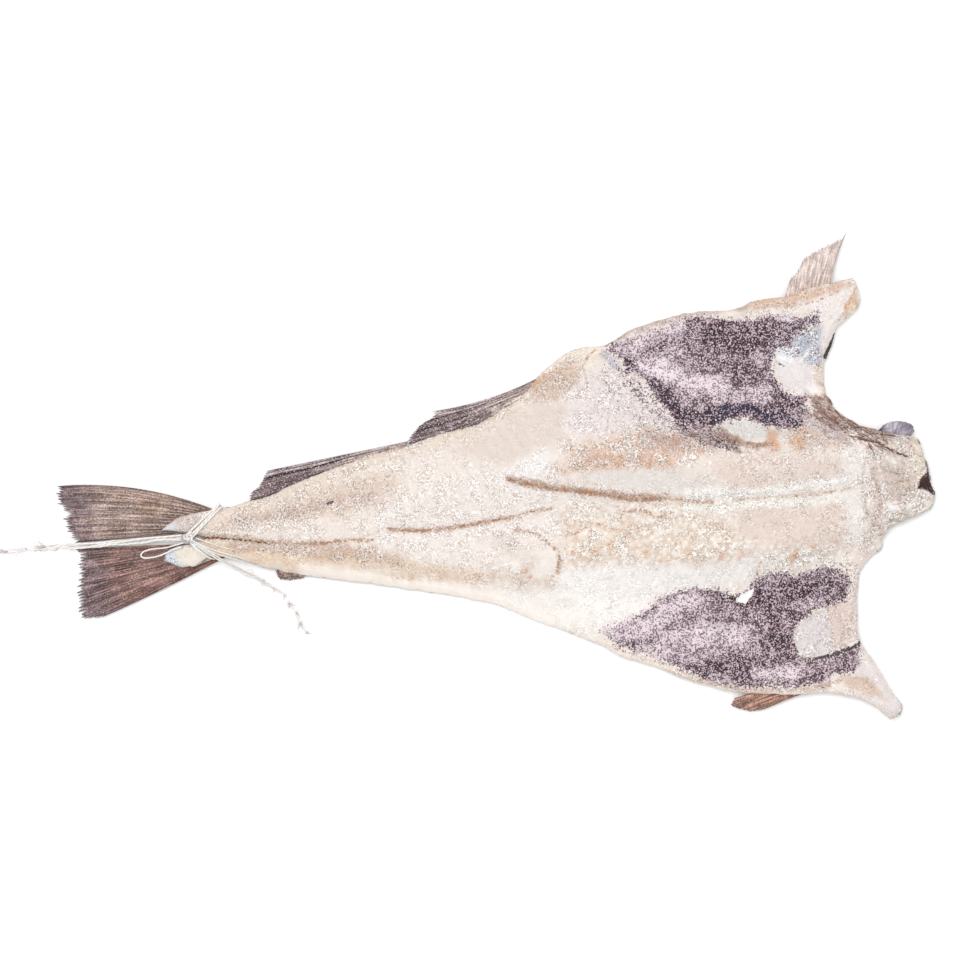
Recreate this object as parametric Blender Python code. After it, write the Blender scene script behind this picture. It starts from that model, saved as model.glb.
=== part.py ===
"""Salt cod: a headless cod, split, opened flat, salted and dried, with twine round its tail.

The fish lies skin side down, with its tail towards -X and its head end towards +X. The script
works in millimetres and makes its meshes in metres.
"""

import math

import bmesh
import bpy
import numpy as np

# Driving dimensions, in millimetres

MM = 0.001
HALF_LENGTH = 352.4
HALF_WIDTH = 195.2

# Outlines of the split fish, as hand-chosen points (position along, position across)

LOWER_EDGE = (
    (-266, -68), (-250, -74), (-238, -72), (-228, -65), (-212, -66), (-188, -73),
    (-156, -80), (-108, -86), (-60, -93), (-28, -98), (4, -105), (20, -112), (52, -124),
    (88, -138), (100, -145), (132, -155), (148, -162), (184, -172), (204, -175),
    (240, -176), (260, -174), (284, -177), (300, -183), (316, -HALF_WIDTH),
)
UPPER_EDGE = (
    (-268, -44), (-260, -37), (-250, -32), (-240, -30), (-228, -28), (-212, -26), (-198, -21),
    (-188, -19), (-164, -8), (-140, 2), (-116, 11), (-76, 22), (-44, 33), (-12, 42),
    (4, 52), (20, 62), (33, 78), (52, 94), (68, 102), (84, 103), (108, 116), (128, 123),
    (156, 130), (188, 132), (209, 140), (233, 143), (249, 149), (266, 153), (286, 158),
)
CENTRE_LINE = (
    (-234, -51), (-180, -54), (-116, -51), (-84, -45), (-36, -41), (12, -34), (48, -22),
    (100, -18), (172, -21), (244, -17), (292, -6), (348, -6),
)
# The head end and the slit tail end give the position along for each position across
HEAD_EDGE = (
    (-HALF_WIDTH, 316), (-192, 323), (-186, 326), (-174, 318), (-164, 312), (-151, 304),
    (-133, 292), (-124, 290), (-100, 290), (-79, 292), (-67, 300), (-57, 310), (-53, 308),
    (-46, 312), (-39, 318), (-34, 333), (-26, 348), (-16, HALF_LENGTH), (-7, 349), (10, 346),
    (20, 342), (27, 340), (31, 336), (34, 306), (39, 292), (44, 284), (53, 272), (60, 269),
    (66, 264), (84, 263), (94, 264), (108, 269), (117, 272), (129, 285), (135, 291),
    (141, 292), (153, 289), (158, 286),
)
TAIL_EDGE = (
    (-74, -252), (-68, -266), (-60, -262), (-55, -244), (-51, -234), (-47.2, -243),
    (-44, -268), (-37, -262), (-30, -244),
)

# Heights along the fish, as hand-chosen points (position along, millimetres)

TAIL_LIFT = ((-270, 3.4), (-215, 3.2), (-170, 0.0), (360, 0.0))
CENTRE_THICKNESS = (
    (-270, 2.6), (-245, 7), (-225, 9), (-200, 11.5), (-100, 16), (20, 18), (110, 18),
    (250, 17), (300, 16), (335, 15.5), (352, 12),
)
LOIN_THICKNESS = (
    (-270, 2.8), (-245, 7.6), (-225, 10), (-200, 13), (-100, 19), (20, 23), (110, 27),
    (220, 27), (280, 22), (320, 18), (352, 13),
)
EDGE_THICKNESS = ((-270, 2.4), (-240, 5), (-150, 6), (0, 7), (90, 6), (290, 6), (352, 8))
LOWER_LOIN_WIDTH = ((-270, 20), (-150, 33), (0, 66), (60, 86), (130, 82), (240, 66), (352, 60))
UPPER_LOIN_WIDTH = ((-270, 20), (-150, 50), (0, 82), (70, 92), (150, 72), (240, 62), (352, 60))

# Grooves in the flesh: route, depth and half width

GROOVES = (
    (((-236, -49), (-205, -50), (-180, -54), (-140, -55), (-108, -52), (-92, -47)), 2.6, 2.6),
    (((-86, -44), (-52, -44), (-20, -40), (12, -35), (45, -27)), 3.6, 2.4),
    (((10, -4), (32, -9), (68, -14), (100, -18), (132, -20), (172, -22)), 5.0, 3.4),
    (((172, -22), (196, -17), (248, -15)), 1.8, 3.0),
    (((16, -44), (36, -49), (50, -60), (51, -78)), 1.8, 2.4),
)
GROOVE_STEP = 6.0

# Each loin's crest and foot, as shares of its width, and the round rim of the whole fish

LOIN_CREST = 0.42
LOIN_FOOT = (0.46, 1.05)
RIM_LEVEL = 0.42
RIM_REACH = 1.0

# Dark lining of the belly, a shallow hollow beside each loin, and the collar bones

FLAP_HOLLOW = 1.2
LINING_START = (70, 110)
LINING_INSET = (10, 26)
COLLAR_RIDGE_HEIGHT = 5.0
COLLAR_RIDGE_INSET = 9.0
COLLAR_RIDGE_WIDTH = 6.5
COLLAR_REACH = (52.0, 76.0)
COLLAR_START = (225, 262)
RIM_ROLL_HEIGHT = 1.4
RIM_ROLL_INSET = 4.5
RIM_ROLL_WIDTH = 3.0
FLAP_LIFT = 6.5
FLAT_REACH = (60, 190)

# The grid of the split fish

COLUMNS = 58
ROWS_A_SIDE = 16
END_COLUMNS = (0.0, 0.003, 0.009, 0.02)
WAIST = -230.0
ROW_CROWDING = 0.12
HEAD_FADE = 8
TAIL_FADE = 30

# Twine

BAND_CENTRE = (-232.9, -36.9)
BAND_HEADING = math.radians(46)
BAND_HALF_LENGTH = 18.5
BAND_LOW = 0.9
BAND_HIGH = 14.9
BAND_WIDTH = 5.6
BAND_THICKNESS = 1.5
KNOT_CENTRE = (-245.0, -49.4, 13.6)
KNOT_RADII = (5.2, 4.4, 3.4)
LONG_END_DIAMETER = 5.2
SHORT_END_DIAMETER = 3.4
LOOP_DIAMETER = 1.6
LONG_END_ROUTE = (
    (-250.8, -50.0, 12.6), (-257, -50.5, 10.6), (-265, -51.2, 9.2), (-276, -52.0, 8.0),
    (-292, -53.3, 7.3), (-310, -55.0, 6.9), (-326, -56.4, 6.7), (-338, -57.2, 6.5),
    (-350, -57.4, 4.8), (-362, -58.0, 3.4), (-376, -59.8, 2.8), (-392, -61.4, 2.7),
)
SHORT_END_ROUTE = (
    (-242.4, -53.9, 13.8), (-239.0, -55.5, 14.2), (-234.0, -58.6, 14.6), (-228.0, -62.4, 14.6),
    (-221.0, -67.2, 13.4), (-214.5, -71.4, 9.6), (-207.0, -75.4, 4.8), (-197.0, -80.6, 2.2),
    (-187.0, -85.4, 1.8), (-178.0, -91.0, 1.8), (-170.0, -97.0, 1.8), (-165.0, -103.5, 1.8),
    (-160.0, -111.0, 1.8), (-157.0, -119.5, 1.8), (-151.6, -126.4, 1.8),
)
LOOP_ROUTE = (
    (-249.6, -54.2, 12.4), (-256.0, -56.0, 10.2), (-264.0, -58.2, 6.9), (-275.0, -59.4, 6.1),
    (-282.0, -61.4, 5.9), (-284.4, -64.2, 5.8), (-281.6, -66.6, 5.9), (-274.0, -65.8, 6.2),
    (-266.0, -63.4, 7.6), (-257.0, -59.4, 10.8), (-251.0, -57.4, 12.8),
)

# Colours, as linear red, green and blue

FLESH_COLOUR = (0.80, 0.70, 0.60)
TWINE_COLOUR = (0.86, 0.82, 0.74)


def smooth_through(points):
    """A smooth function that passes through points given as (position, value)."""
    at, value = np.array(sorted(points), float).T
    step = np.diff(value) / np.diff(at)
    slope = np.concatenate([step[:1], np.zeros(len(at) - 2), step[-1:]])
    same_way = step[:-1] * step[1:] > 0
    total = np.where(same_way, step[:-1] + step[1:], 1.0)
    slope[1:-1] = np.where(same_way, 2 * step[:-1] * step[1:] / total, 0.0)

    def read(x):
        i = np.clip(np.searchsorted(at, x) - 1, 0, len(at) - 2)
        width = at[i + 1] - at[i]
        t = np.clip((x - at[i]) / width, 0.0, 1.0)
        return (
            value[i] * (1 + 2 * t) * (1 - t) ** 2
            + value[i + 1] * t**2 * (3 - 2 * t)
            + slope[i] * width * t * (1 - t) ** 2
            - slope[i + 1] * width * t**2 * (1 - t)
        )

    return read


def smooth_route(points, step):
    """Points about a step apart on a smooth curve through hand-chosen route points."""
    points = np.array(points, float)
    run = np.concatenate([[0], np.cumsum(np.linalg.norm(np.diff(points, axis=0), axis=1))])
    at = np.linspace(0, run[-1], max(2, round(run[-1] / step) + 1))
    axes = [smooth_through(list(zip(run, points[:, k])))(at) for k in range(points.shape[1])]
    return np.stack(axes, axis=-1)


def smoothstep(low, high, x):
    """Zero below low, one above high and a smooth rise between them."""
    t = np.clip((x - low) / (high - low), 0.0, 1.0)
    return t * t * (3 - 2 * t)


def bump(x, width):
    """One at zero, fading smoothly to nothing about two widths away."""
    return np.exp(-((x / width) ** 2))


def distance_to(route, x, y):
    """The distance in plan from each point (x, y) to a route of straight pieces."""
    best = np.full(np.shape(x), np.inf)
    for (ax, ay), (bx, by) in zip(route[:-1], route[1:]):
        dx, dy = bx - ax, by - ay
        t = np.clip(((x - ax) * dx + (y - ay) * dy) / (dx * dx + dy * dy), 0.0, 1.0)
        best = np.minimum(best, np.hypot(x - ax - t * dx, y - ay - t * dy))
    return best


lower_edge = smooth_through(LOWER_EDGE)
upper_edge = smooth_through(UPPER_EDGE)
centre_line = smooth_through(CENTRE_LINE)
head_edge = smooth_through(HEAD_EDGE)
tail_edge = smooth_through(TAIL_EDGE)
tail_lift = smooth_through(TAIL_LIFT)
centre_thickness = smooth_through(CENTRE_THICKNESS)
loin_thickness = smooth_through(LOIN_THICKNESS)
edge_thickness = smooth_through(EDGE_THICKNESS)
lower_loin_width = smooth_through(LOWER_LOIN_WIDTH)
upper_loin_width = smooth_through(UPPER_LOIN_WIDTH)


def plan_grid():
    """The fish's plan as a grid: columns from tail to head, rows from lower to upper edge."""
    ends = np.array(END_COLUMNS)
    middle = np.linspace(ends[-1], 1 - ends[-1], COLUMNS + 2)[1:-1]
    along = np.concatenate([ends, middle, 1 - ends[::-1]])[:, None]
    t = np.linspace(0.0, 1.0, ROWS_A_SIDE + 1)
    side = t - ROW_CROWDING * np.sin(2 * math.pi * t)
    across = np.concatenate([-side[:0:-1], side])[None, :]

    def between(low, middle_value, high):
        down, up = np.maximum(-across, 0.0), np.maximum(across, 0.0)
        return low * down + middle_value * (1 - down - up) + high * up

    def guide(edge, points):
        start, end = points[0][0], points[-1][0]
        x = WAIST + along * (end - WAIST) + (1 - along) ** TAIL_FADE * (start - WAIST)
        return x, edge(x)

    low_x, low_y = guide(lower_edge, LOWER_EDGE)
    mid_x, mid_y = guide(centre_line, CENTRE_LINE)
    high_x, high_y = guide(upper_edge, UPPER_EDGE)
    x, y = between(low_x, mid_x, high_x), between(low_y, mid_y, high_y)
    head_push = head_edge(y[-1:]) - x[-1:]
    tail_push = tail_edge(y[:1]) - x[:1]
    x = x + along**HEAD_FADE * head_push + (1 - along) ** TAIL_FADE * tail_push
    return x, y


def outline_of(x, y):
    """The grid's border, once round."""
    plan = np.stack([x, y], -1)
    sides = [plan[:, 0], plan[-1, 1:], plan[-2::-1, -1], plan[0, -2::-1]]
    return np.concatenate(sides)


def under_side(x, y):
    """The height of the skin side: flat under the loins, lifted at the tail and the flaps."""
    from_centre = np.abs(y - centre_line(x))
    return tail_lift(x) + FLAP_LIFT * smoothstep(*FLAT_REACH, from_centre)


def thickness(x, y, inset):
    """How thick the fish is: two loins with a trough between them, thin flaps and collar ridges."""
    across = y - centre_line(x)
    loin = np.where(across < 0, lower_loin_width(x), upper_loin_width(x))
    share = np.abs(across) / loin
    rise, fall = smoothstep(0.0, LOIN_CREST, share), smoothstep(*LOIN_FOOT, share)
    body = centre_thickness(x) + (loin_thickness(x) - centre_thickness(x)) * rise
    thick = body * (1 - fall) + edge_thickness(x) * fall
    lining = fall * smoothstep(*LINING_START, x) * smoothstep(*LINING_INSET, inset)
    thick = thick - FLAP_HOLLOW * lining
    thick = thick + RIM_ROLL_HEIGHT * bump(inset - RIM_ROLL_INSET, RIM_ROLL_WIDTH) * fall
    collar = smoothstep(*COLLAR_REACH, np.abs(across)) * smoothstep(*COLLAR_START, x)
    ridge = bump(head_edge(y) - x - COLLAR_RIDGE_INSET, COLLAR_RIDGE_WIDTH)
    thick = thick + COLLAR_RIDGE_HEIGHT * collar * ridge
    for route, depth, half_width in GROOVES:
        near = distance_to(smooth_route(route, GROOVE_STEP), x, y)
        thick = thick - depth * bump(near, half_width)
    return thick


def closed_sheet(name, x, y, low, high):
    """A closed solid between two heights over a plan grid, which meet along its border."""
    border = outline_of(x, y)
    after = np.roll(border, -1, axis=0)
    if (border[:, 0] * after[:, 1] - border[:, 1] * after[:, 0]).sum() < 0:
        x, y, low, high = x[::-1], y[::-1], low[::-1], high[::-1]
    columns, rows = x.shape
    index = np.arange(columns * rows).reshape(columns, rows)
    under = index.copy()
    inner = under[1:-1, 1:-1]
    inner[...] = np.arange(inner.size).reshape(inner.shape) + index.size
    seam = (low + high) / 2
    top = high.copy()
    top[0], top[-1], top[:, 0], top[:, -1] = seam[0], seam[-1], seam[:, 0], seam[:, -1]
    upper = np.stack([x, y, top], -1).reshape(-1, 3)
    lower = np.stack([x, y, low], -1)[1:-1, 1:-1].reshape(-1, 3)
    faces = []
    for i in range(columns - 1):
        for j in range(rows - 1):
            turned = (i < (columns - 1) / 2) != (j < (rows - 1) / 2)
            for grid, outwards in ((index, True), (under, False)):
                a, b, c, d = grid[i, j], grid[i + 1, j], grid[i + 1, j + 1], grid[i, j + 1]
                pair = [(a, b, d), (b, c, d)] if turned else [(a, b, c), (a, c, d)]
                faces += pair if outwards else [face[::-1] for face in pair]
    mesh = bpy.data.meshes.new(name)
    mesh.from_pydata((np.concatenate([upper, lower]) * MM).tolist(), [], np.array(faces).tolist())
    return link(bpy.data.objects.new(name, mesh))


def link(item):
    """Puts an object into the scene."""
    bpy.context.scene.collection.objects.link(item)
    return item


def split_fish():
    """The body: loins, belly flaps, collar bones and neck as one closed sheet."""
    x, y = plan_grid()
    inset = distance_to(outline_of(x, y), x, y)
    low = under_side(x, y)
    thick = thickness(x, y, inset)
    rim = np.minimum(inset / (thick / 2 + RIM_REACH), 1.0)
    rounding = np.sqrt(np.maximum(1 - (1 - rim) ** 2, 0.0))
    seam = low + RIM_LEVEL * thick
    under = seam + (low - seam) * rounding
    over = seam + (low + thick - seam) * rounding
    return closed_sheet("fish", x, y, under, over)


def fin(name, root, edge, levels, thicknesses, columns=12, rows=6, teeth=0, tooth=0.0, bow=(0.0, 0.0)):
    """A thin fan from its root line to its edge line.

    Its rays run from root to edge. Levels and thicknesses are each a pair, at the root and at
    the edge. Teeth notch the edge, and bow bends the first and the last ray outwards.
    """
    a = np.linspace(0.0, 1.0, columns + 1)[:, None]
    t = np.linspace(0.0, 1.0, rows + 1)[None, :]

    def along(points):
        route = smooth_route(points, 0.5)
        at = a * (len(route) - 1)
        k = np.clip(at.astype(int), 0, len(route) - 2)
        return route[k] + (at - k)[..., None] * (route[k + 1] - route[k])

    start, end = along(root), along(edge)
    ray = end - start
    length = np.linalg.norm(ray, axis=-1, keepdims=True)
    notch = tooth * np.abs(np.sin(math.pi * teeth * a))[..., None]
    end = end - ray / length * notch
    ray = end - start
    side = np.stack([-ray[..., 1], ray[..., 0]], -1) / length
    bend = (bow[0] * (1 - a) ** 2 + bow[1] * a**2)[..., None] * 4 * (t * (1 - t))[..., None]
    plan = start + ray * t[..., None] + side * bend
    level = levels[0] + (levels[1] - levels[0]) * t + 0 * a
    thick = thicknesses[0] + (thicknesses[1] - thicknesses[0]) * t + 0 * a
    return closed_sheet(name, plan[..., 0], plan[..., 1], level - thick / 2, level + thick / 2)


def fins():
    """The tail fin's two lobes, the anal fins, the pectoral fins, a back fin and the neck flap."""
    tail_levels, tail_thicknesses = (5.0, 2.6), (2.8, 1.6)
    return [
        fin(
            "tail_upper", ((-216, -44), (-216, -38), (-214, -33)),
            (
                (-335.6, -54.4), (-343, -44), (-347.6, -35), (-343.6, -30.5), (-350.5, -22),
                (-HALF_LENGTH, -16), (-350, -9),
            ),
            tail_levels, tail_thicknesses, 20, 8, teeth=5, tooth=1.6, bow=(0.0, -9.0),
        ),
        fin(
            "tail_lower", ((-208, -60), (-210, -57), (-213, -54)),
            ((-332, -115), (-334, -105), (-335, -80), (-334.8, -59.2)),
            tail_levels, tail_thicknesses, 20, 8, teeth=10, tooth=1.5, bow=(7.0, 0.0),
        ),
        fin(
            "rear_anal", ((-192, -26), (-160, -14), (-112, 5), (-70, 18)),
            ((-201, -20), (-193, -12), (-186, 0), (-181, 4), (-150, 12), (-110, 18), (-72, 26)),
            (3.4, 3.0), (2.6, 1.4), 14, 3,
        ),
        fin(
            "front_anal", ((-68, 20), (-30, 28), (10, 46), (30, 64)),
            ((-73, 26), (-66, 36), (-54, 44), (-50, 51), (-28, 57), (0, 64), (20, 73), (33, 79)),
            (3.6, 3.0), (2.6, 1.4), 14, 3,
        ),
        fin(
            "upper_pectoral", ((266, 142), (250, 138), (234, 134)),
            ((282, HALF_WIDTH), (280, 191), (264, 185), (252, 180), (243, 166), (236, 160)),
            (9.0, 5.0), (2.6, 1.4), 12, 6,
        ),
        fin(
            "lower_pectoral", ((246, -162), (250, -168), (256, -172)),
            ((190, -180), (188.5, -185), (196, -188), (204, -190), (214, -188), (226, -183)),
            (6.0, 3.4), (2.6, 1.4), 8, 5,
        ),
        fin(
            "back_fin", ((-150, -72), (-164, -70), (-172, -68)),
            ((-151, -82), (-157, -84), (-166, -85), (-174, -84), (-177, -79)),
            (3.0, 2.4), (2.4, 1.4), 6, 3,
        ),
        fin(
            "neck_flap", ((334, 22), (318, 22), (306, 26)),
            ((338, 33), (335, 38), (330, 42), (322, 43.6), (312, 40), (305, 35)),
            (9.5, 8.0), (3.2, 2.2), 8, 3,
        ),
    ]


def joined(name, first, others):
    """One solid from overlapping ones, by a Boolean union on a collection."""
    pieces = bpy.data.collections.new(name + "_pieces")
    for other in others:
        bpy.context.scene.collection.objects.unlink(other)
        pieces.objects.link(other)
    union = first.modifiers.new("union", "BOOLEAN")
    union.operation = "UNION"
    union.operand_type = "COLLECTION"
    union.collection = pieces
    union.solver = "EXACT"
    bpy.context.scene.collection.children.link(pieces)
    mesh = bpy.data.meshes.new_from_object(first.evaluated_get(bpy.context.evaluated_depsgraph_get()))
    for other in others:
        bpy.data.objects.remove(other)
    bpy.data.collections.remove(pieces)
    bpy.data.objects.remove(first)
    mesh.name = name
    return link(bpy.data.objects.new(name, mesh))


def tidied(item):
    """Welds points that all but coincide and cuts every face into triangles."""
    shape = bmesh.new()
    shape.from_mesh(item.data)
    bmesh.ops.remove_doubles(shape, verts=shape.verts, dist=0.00002)
    bmesh.ops.dissolve_degenerate(shape, edges=shape.edges, dist=0.00002)
    bmesh.ops.triangulate(shape, faces=shape.faces)
    shape.to_mesh(item.data)
    shape.free()
    item.data.shade_smooth()
    item.data.set_sharp_from_angle(angle=math.radians(50))
    return item


def twine_band():
    """The turns of twine round the upper half of the tail, as one flat band."""
    turn = np.linspace(0.0, 2 * math.pi, 25)[:-1]
    middle, half_height = (BAND_LOW + BAND_HIGH) / 2, (BAND_HIGH - BAND_LOW) / 2
    square = 0.45
    out = np.sign(np.cos(turn)) * np.abs(np.cos(turn)) ** square * BAND_HALF_LENGTH
    up = np.sign(np.sin(turn)) * np.abs(np.sin(turn)) ** square * half_height
    inward = np.stack([out, up], 1)
    inward = inward * (1 - BAND_THICKNESS / np.linalg.norm(inward, axis=1, keepdims=True))
    heading = np.array([math.cos(BAND_HEADING), math.sin(BAND_HEADING)])
    sideways = np.array([-heading[1], heading[0]])
    points = []
    for reach, height, side in (
        (out, up, -1), (out, up, 1), (inward[:, 0], inward[:, 1], 1), (inward[:, 0], inward[:, 1], -1),
    ):
        plan = np.array(BAND_CENTRE) + reach[:, None] * heading + side * BAND_WIDTH / 2 * sideways
        points.append(np.column_stack([plan, height + middle]))
    count = len(turn)
    faces = []
    for k in range(4):
        for i in range(count):
            a, b = k * count + i, k * count + (i + 1) % count
            c, d = (k + 1) % 4 * count + (i + 1) % count, (k + 1) % 4 * count + i
            faces.append((a, b, c, d))
    mesh = bpy.data.meshes.new("twine_band")
    mesh.from_pydata((np.concatenate(points) * MM).tolist(), [], faces)
    shape = bmesh.new()
    shape.from_mesh(mesh)
    bmesh.ops.recalc_face_normals(shape, faces=shape.faces)
    shape.to_mesh(mesh)
    shape.free()
    return link(bpy.data.objects.new("twine_band", mesh))


def knot():
    """The knot as a rounded lump."""
    shape = bmesh.new()
    bmesh.ops.create_uvsphere(shape, u_segments=14, v_segments=9, radius=1.0)
    bmesh.ops.scale(shape, vec=[radius * MM for radius in KNOT_RADII], verts=shape.verts)
    bmesh.ops.translate(shape, vec=[place * MM for place in KNOT_CENTRE], verts=shape.verts)
    mesh = bpy.data.meshes.new("knot")
    shape.to_mesh(mesh)
    shape.free()
    return link(bpy.data.objects.new("knot", mesh))


def twine_end(name, route, diameter):
    """A free end of twine as a tube on a smooth route."""
    points = smooth_route(route, 2.4 * diameter) * MM
    curve = bpy.data.curves.new(name, "CURVE")
    curve.dimensions = "3D"
    curve.bevel_depth = diameter / 2 * MM
    curve.bevel_resolution = 2
    curve.use_fill_caps = True
    spline = curve.splines.new("POLY")
    spline.points.add(len(points) - 1)
    for point, place in zip(spline.points, points):
        point.co = (*place, 1.0)
    return link(bpy.data.objects.new(name, curve))


def painted(item, name, colour, roughness):
    """Gives an object its own material."""
    material = bpy.data.materials.new(name)
    material.use_nodes = True
    shader = material.node_tree.nodes["Principled BSDF"]
    shader.inputs["Base Color"].default_value = (*colour, 1.0)
    shader.inputs["Roughness"].default_value = roughness
    shader.inputs["Metallic"].default_value = 0.0
    item.data.materials.clear()
    item.data.materials.append(material)


def main():
    """Builds the fish and its twine."""
    for item in list(bpy.data.objects):
        bpy.data.objects.remove(item)
    cod = tidied(joined("cod", split_fish(), fins()))
    painted(cod, "salted_flesh", FLESH_COLOUR, 0.75)
    tie = tidied(joined("twine_tie", twine_band(), [knot()]))
    painted(tie, "tie_twine", TWINE_COLOUR, 0.85)
    for name, route, diameter in (
        ("twine_end_long", LONG_END_ROUTE, LONG_END_DIAMETER),
        ("twine_end_short", SHORT_END_ROUTE, SHORT_END_DIAMETER),
        ("twine_loop", LOOP_ROUTE, LOOP_DIAMETER),
    ):
        painted(twine_end(name, route, diameter), name + "_twine", TWINE_COLOUR, 0.85)


main()
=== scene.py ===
"""The looks of the salt cod: its flesh, skin, fins, twine and salt, in a plain studio.

Shapes are worked out in millimetres and put into meshes, lights and the camera in metres. Places
read from the photo are pixels of its 980 by 980 frame, with y downwards, and a line or an outline
of the photo is written as "x,y x,y".
"""

from __future__ import annotations

import logging
import math
from dataclasses import dataclass, fields
from enum import Enum
from typing import Callable, Sequence

import bpy
import numpy as np
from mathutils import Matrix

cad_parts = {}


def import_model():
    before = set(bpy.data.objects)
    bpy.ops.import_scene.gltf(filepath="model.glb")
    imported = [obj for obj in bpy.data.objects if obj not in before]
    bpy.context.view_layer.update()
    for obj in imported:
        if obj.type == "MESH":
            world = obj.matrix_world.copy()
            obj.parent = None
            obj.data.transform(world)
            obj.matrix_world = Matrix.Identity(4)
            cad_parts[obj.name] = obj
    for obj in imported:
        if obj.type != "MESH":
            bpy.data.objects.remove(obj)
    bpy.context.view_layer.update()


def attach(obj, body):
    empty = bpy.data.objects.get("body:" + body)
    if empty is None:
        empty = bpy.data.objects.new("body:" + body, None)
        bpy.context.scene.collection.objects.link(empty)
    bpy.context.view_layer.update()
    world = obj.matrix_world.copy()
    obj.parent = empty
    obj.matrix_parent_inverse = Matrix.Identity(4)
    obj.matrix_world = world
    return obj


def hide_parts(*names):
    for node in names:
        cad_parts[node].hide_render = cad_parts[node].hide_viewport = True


LOG = logging.getLogger("salt_cod")
MM = 0.001
PIXEL = 0.8
PHOTO_ZERO = (495.5, 475.0)
LATTICE = 256
LAYER_SHARE = 0.55
PEBBLE_AREA = 0.38
FAR_OUTSIDE = -3.0
STUDIO_LIGHT = 1.25
SALT_TONE = (250, 247, 244)

Array = np.ndarray
Points = Sequence[Sequence[float]]
Form = tuple[Array, list[list[int]]]
Tone = tuple[float, float, float]
Socket = bpy.types.NodeSocket
Material = bpy.types.Material
Source = "Socket | float | Sequence[float]"


# Shapes as whole arrays


def in_place(line: str) -> Array:
    """Places in the frame, in millimetres, of the pixels of a line of the photo."""
    pixels = np.array([pair.split(",") for pair in line.split()], float)
    return (pixels - PHOTO_ZERO) * (PIXEL, -PIXEL)


def run_along(path: Array) -> Array:
    """How far along a path each of its points lies."""
    return np.concatenate([[0], np.cumsum(np.linalg.norm(np.diff(path, axis=0), axis=1))])


def smooth_through(points: Points) -> Callable[[Array], Array]:
    """A smooth function through points given as (position, value).

    Formula: cubic pieces whose slope at a point is the harmonic mean of the slopes beside it, or
    none where these point opposite ways.

    Args:
        points: the positions and values.
    Returns:
        The function, which keeps its end values outside the positions.
    """
    at, value = np.array(sorted(points), float).T
    step = np.diff(value) / np.diff(at)
    slope = np.concatenate([step[:1], np.zeros(len(at) - 2), step[-1:]])
    same_way = step[:-1] * step[1:] > 0
    total = np.where(same_way, step[:-1] + step[1:], 1.0)
    slope[1:-1] = np.where(same_way, 2 * step[:-1] * step[1:] / total, 0.0)

    def read(x: Array) -> Array:
        """The function's value at each position."""
        i = np.clip(np.searchsorted(at, x) - 1, 0, len(at) - 2)
        width = at[i + 1] - at[i]
        t = np.clip((x - at[i]) / width, 0.0, 1.0)
        return (
            value[i] * (1 + 2 * t) * (1 - t) ** 2
            + value[i + 1] * t**2 * (3 - 2 * t)
            + slope[i] * width * t * (1 - t) ** 2
            - slope[i + 1] * width * t**2 * (1 - t)
        )

    return read


def smooth_route(points: Points, step: float) -> Array:
    """A smooth curve through route points.

    Args:
        points: the route points.
        step: about how far apart the curve's points are.
    Returns:
        The curve's points.
    """
    route = np.array(points, float)
    run = run_along(route)
    at = np.linspace(0, run[-1], max(2, round(run[-1] / step) + 1))
    axes = [smooth_through(list(zip(run, route[:, k])))(at) for k in range(route.shape[1])]
    return np.stack(axes, axis=-1)


def smoothstep(low: float, high: float, x: Array) -> Array:
    """Nothing below low, one above high and a smooth rise between them."""
    t = np.clip((x - low) / (high - low), 0.0, 1.0)
    return t * t * (3 - 2 * t)


def bump(x: Array, width: float) -> Array:
    """One at zero, fading smoothly to nothing about two widths away."""
    return np.exp(-((x / width) ** 2))


def distance_to(route: Points, x: Array, y: Array) -> Array:
    """The distance in plan from each point to a route of straight pieces.

    Args:
        route: the route's places.
        x, y: the points.
    Returns:
        The distances.
    """
    best = np.full(np.shape(x), np.inf)
    for (ax, ay), (bx, by) in zip(route[:-1], route[1:]):
        dx, dy = bx - ax, by - ay
        px, py = x - ax, y - ay
        t = np.clip((px * dx + py * dy) / max(dx * dx + dy * dy, 1e-9), 0.0, 1.0)
        best = np.minimum(best, (px - t * dx) ** 2 + (py - t * dy) ** 2)
    return np.sqrt(best)


def from_line(line: str, x: Array, y: Array, step: float = 0.0) -> Array:
    """The distance to a line of the photo, smoothed with points a step apart if one is given."""
    places = in_place(line)
    return distance_to(smooth_route(places, step) if step else places, x, y)


def inside_by(outline: str, x: Array, y: Array) -> Array:
    """How far each point lies inside a closed outline of the photo.

    Formula: the distance to the outline, signed by whether a line towards +X crosses it an odd
    number of times.

    Args:
        outline: the outline.
        x, y: the points.
    Returns:
        The distances, negative outside the outline.
    """
    places = in_place(outline)
    closed = [*places, places[0]]
    odd = np.zeros(np.shape(x), bool)
    for (ax, ay), (bx, by) in zip(closed[:-1], closed[1:]):
        if ay != by:
            crosses = (ay > y) != (by > y)
            odd ^= crosses & (x < ax + (y - ay) * (bx - ax) / (by - ay))
    return np.where(odd, 1.0, -1.0) * distance_to(closed, x, y)


def lattice(x: Array, y: Array, size: float, turn: float) -> tuple[Array, ...]:
    """Where points lie on a square lattice.

    Args:
        x, y: the points.
        size: the size of a cell.
        turn: the angle by which the lattice is turned.
    Returns:
        The cells' numbers both ways, and the places within the cells.
    """
    u = (x * math.cos(turn) - y * math.sin(turn)) / size + 4 * LATTICE
    v = (x * math.sin(turn) + y * math.cos(turn)) / size + 4 * LATTICE
    i, j = np.floor(u).astype(int), np.floor(v).astype(int)
    return i, j, u - i, v - j


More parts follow.
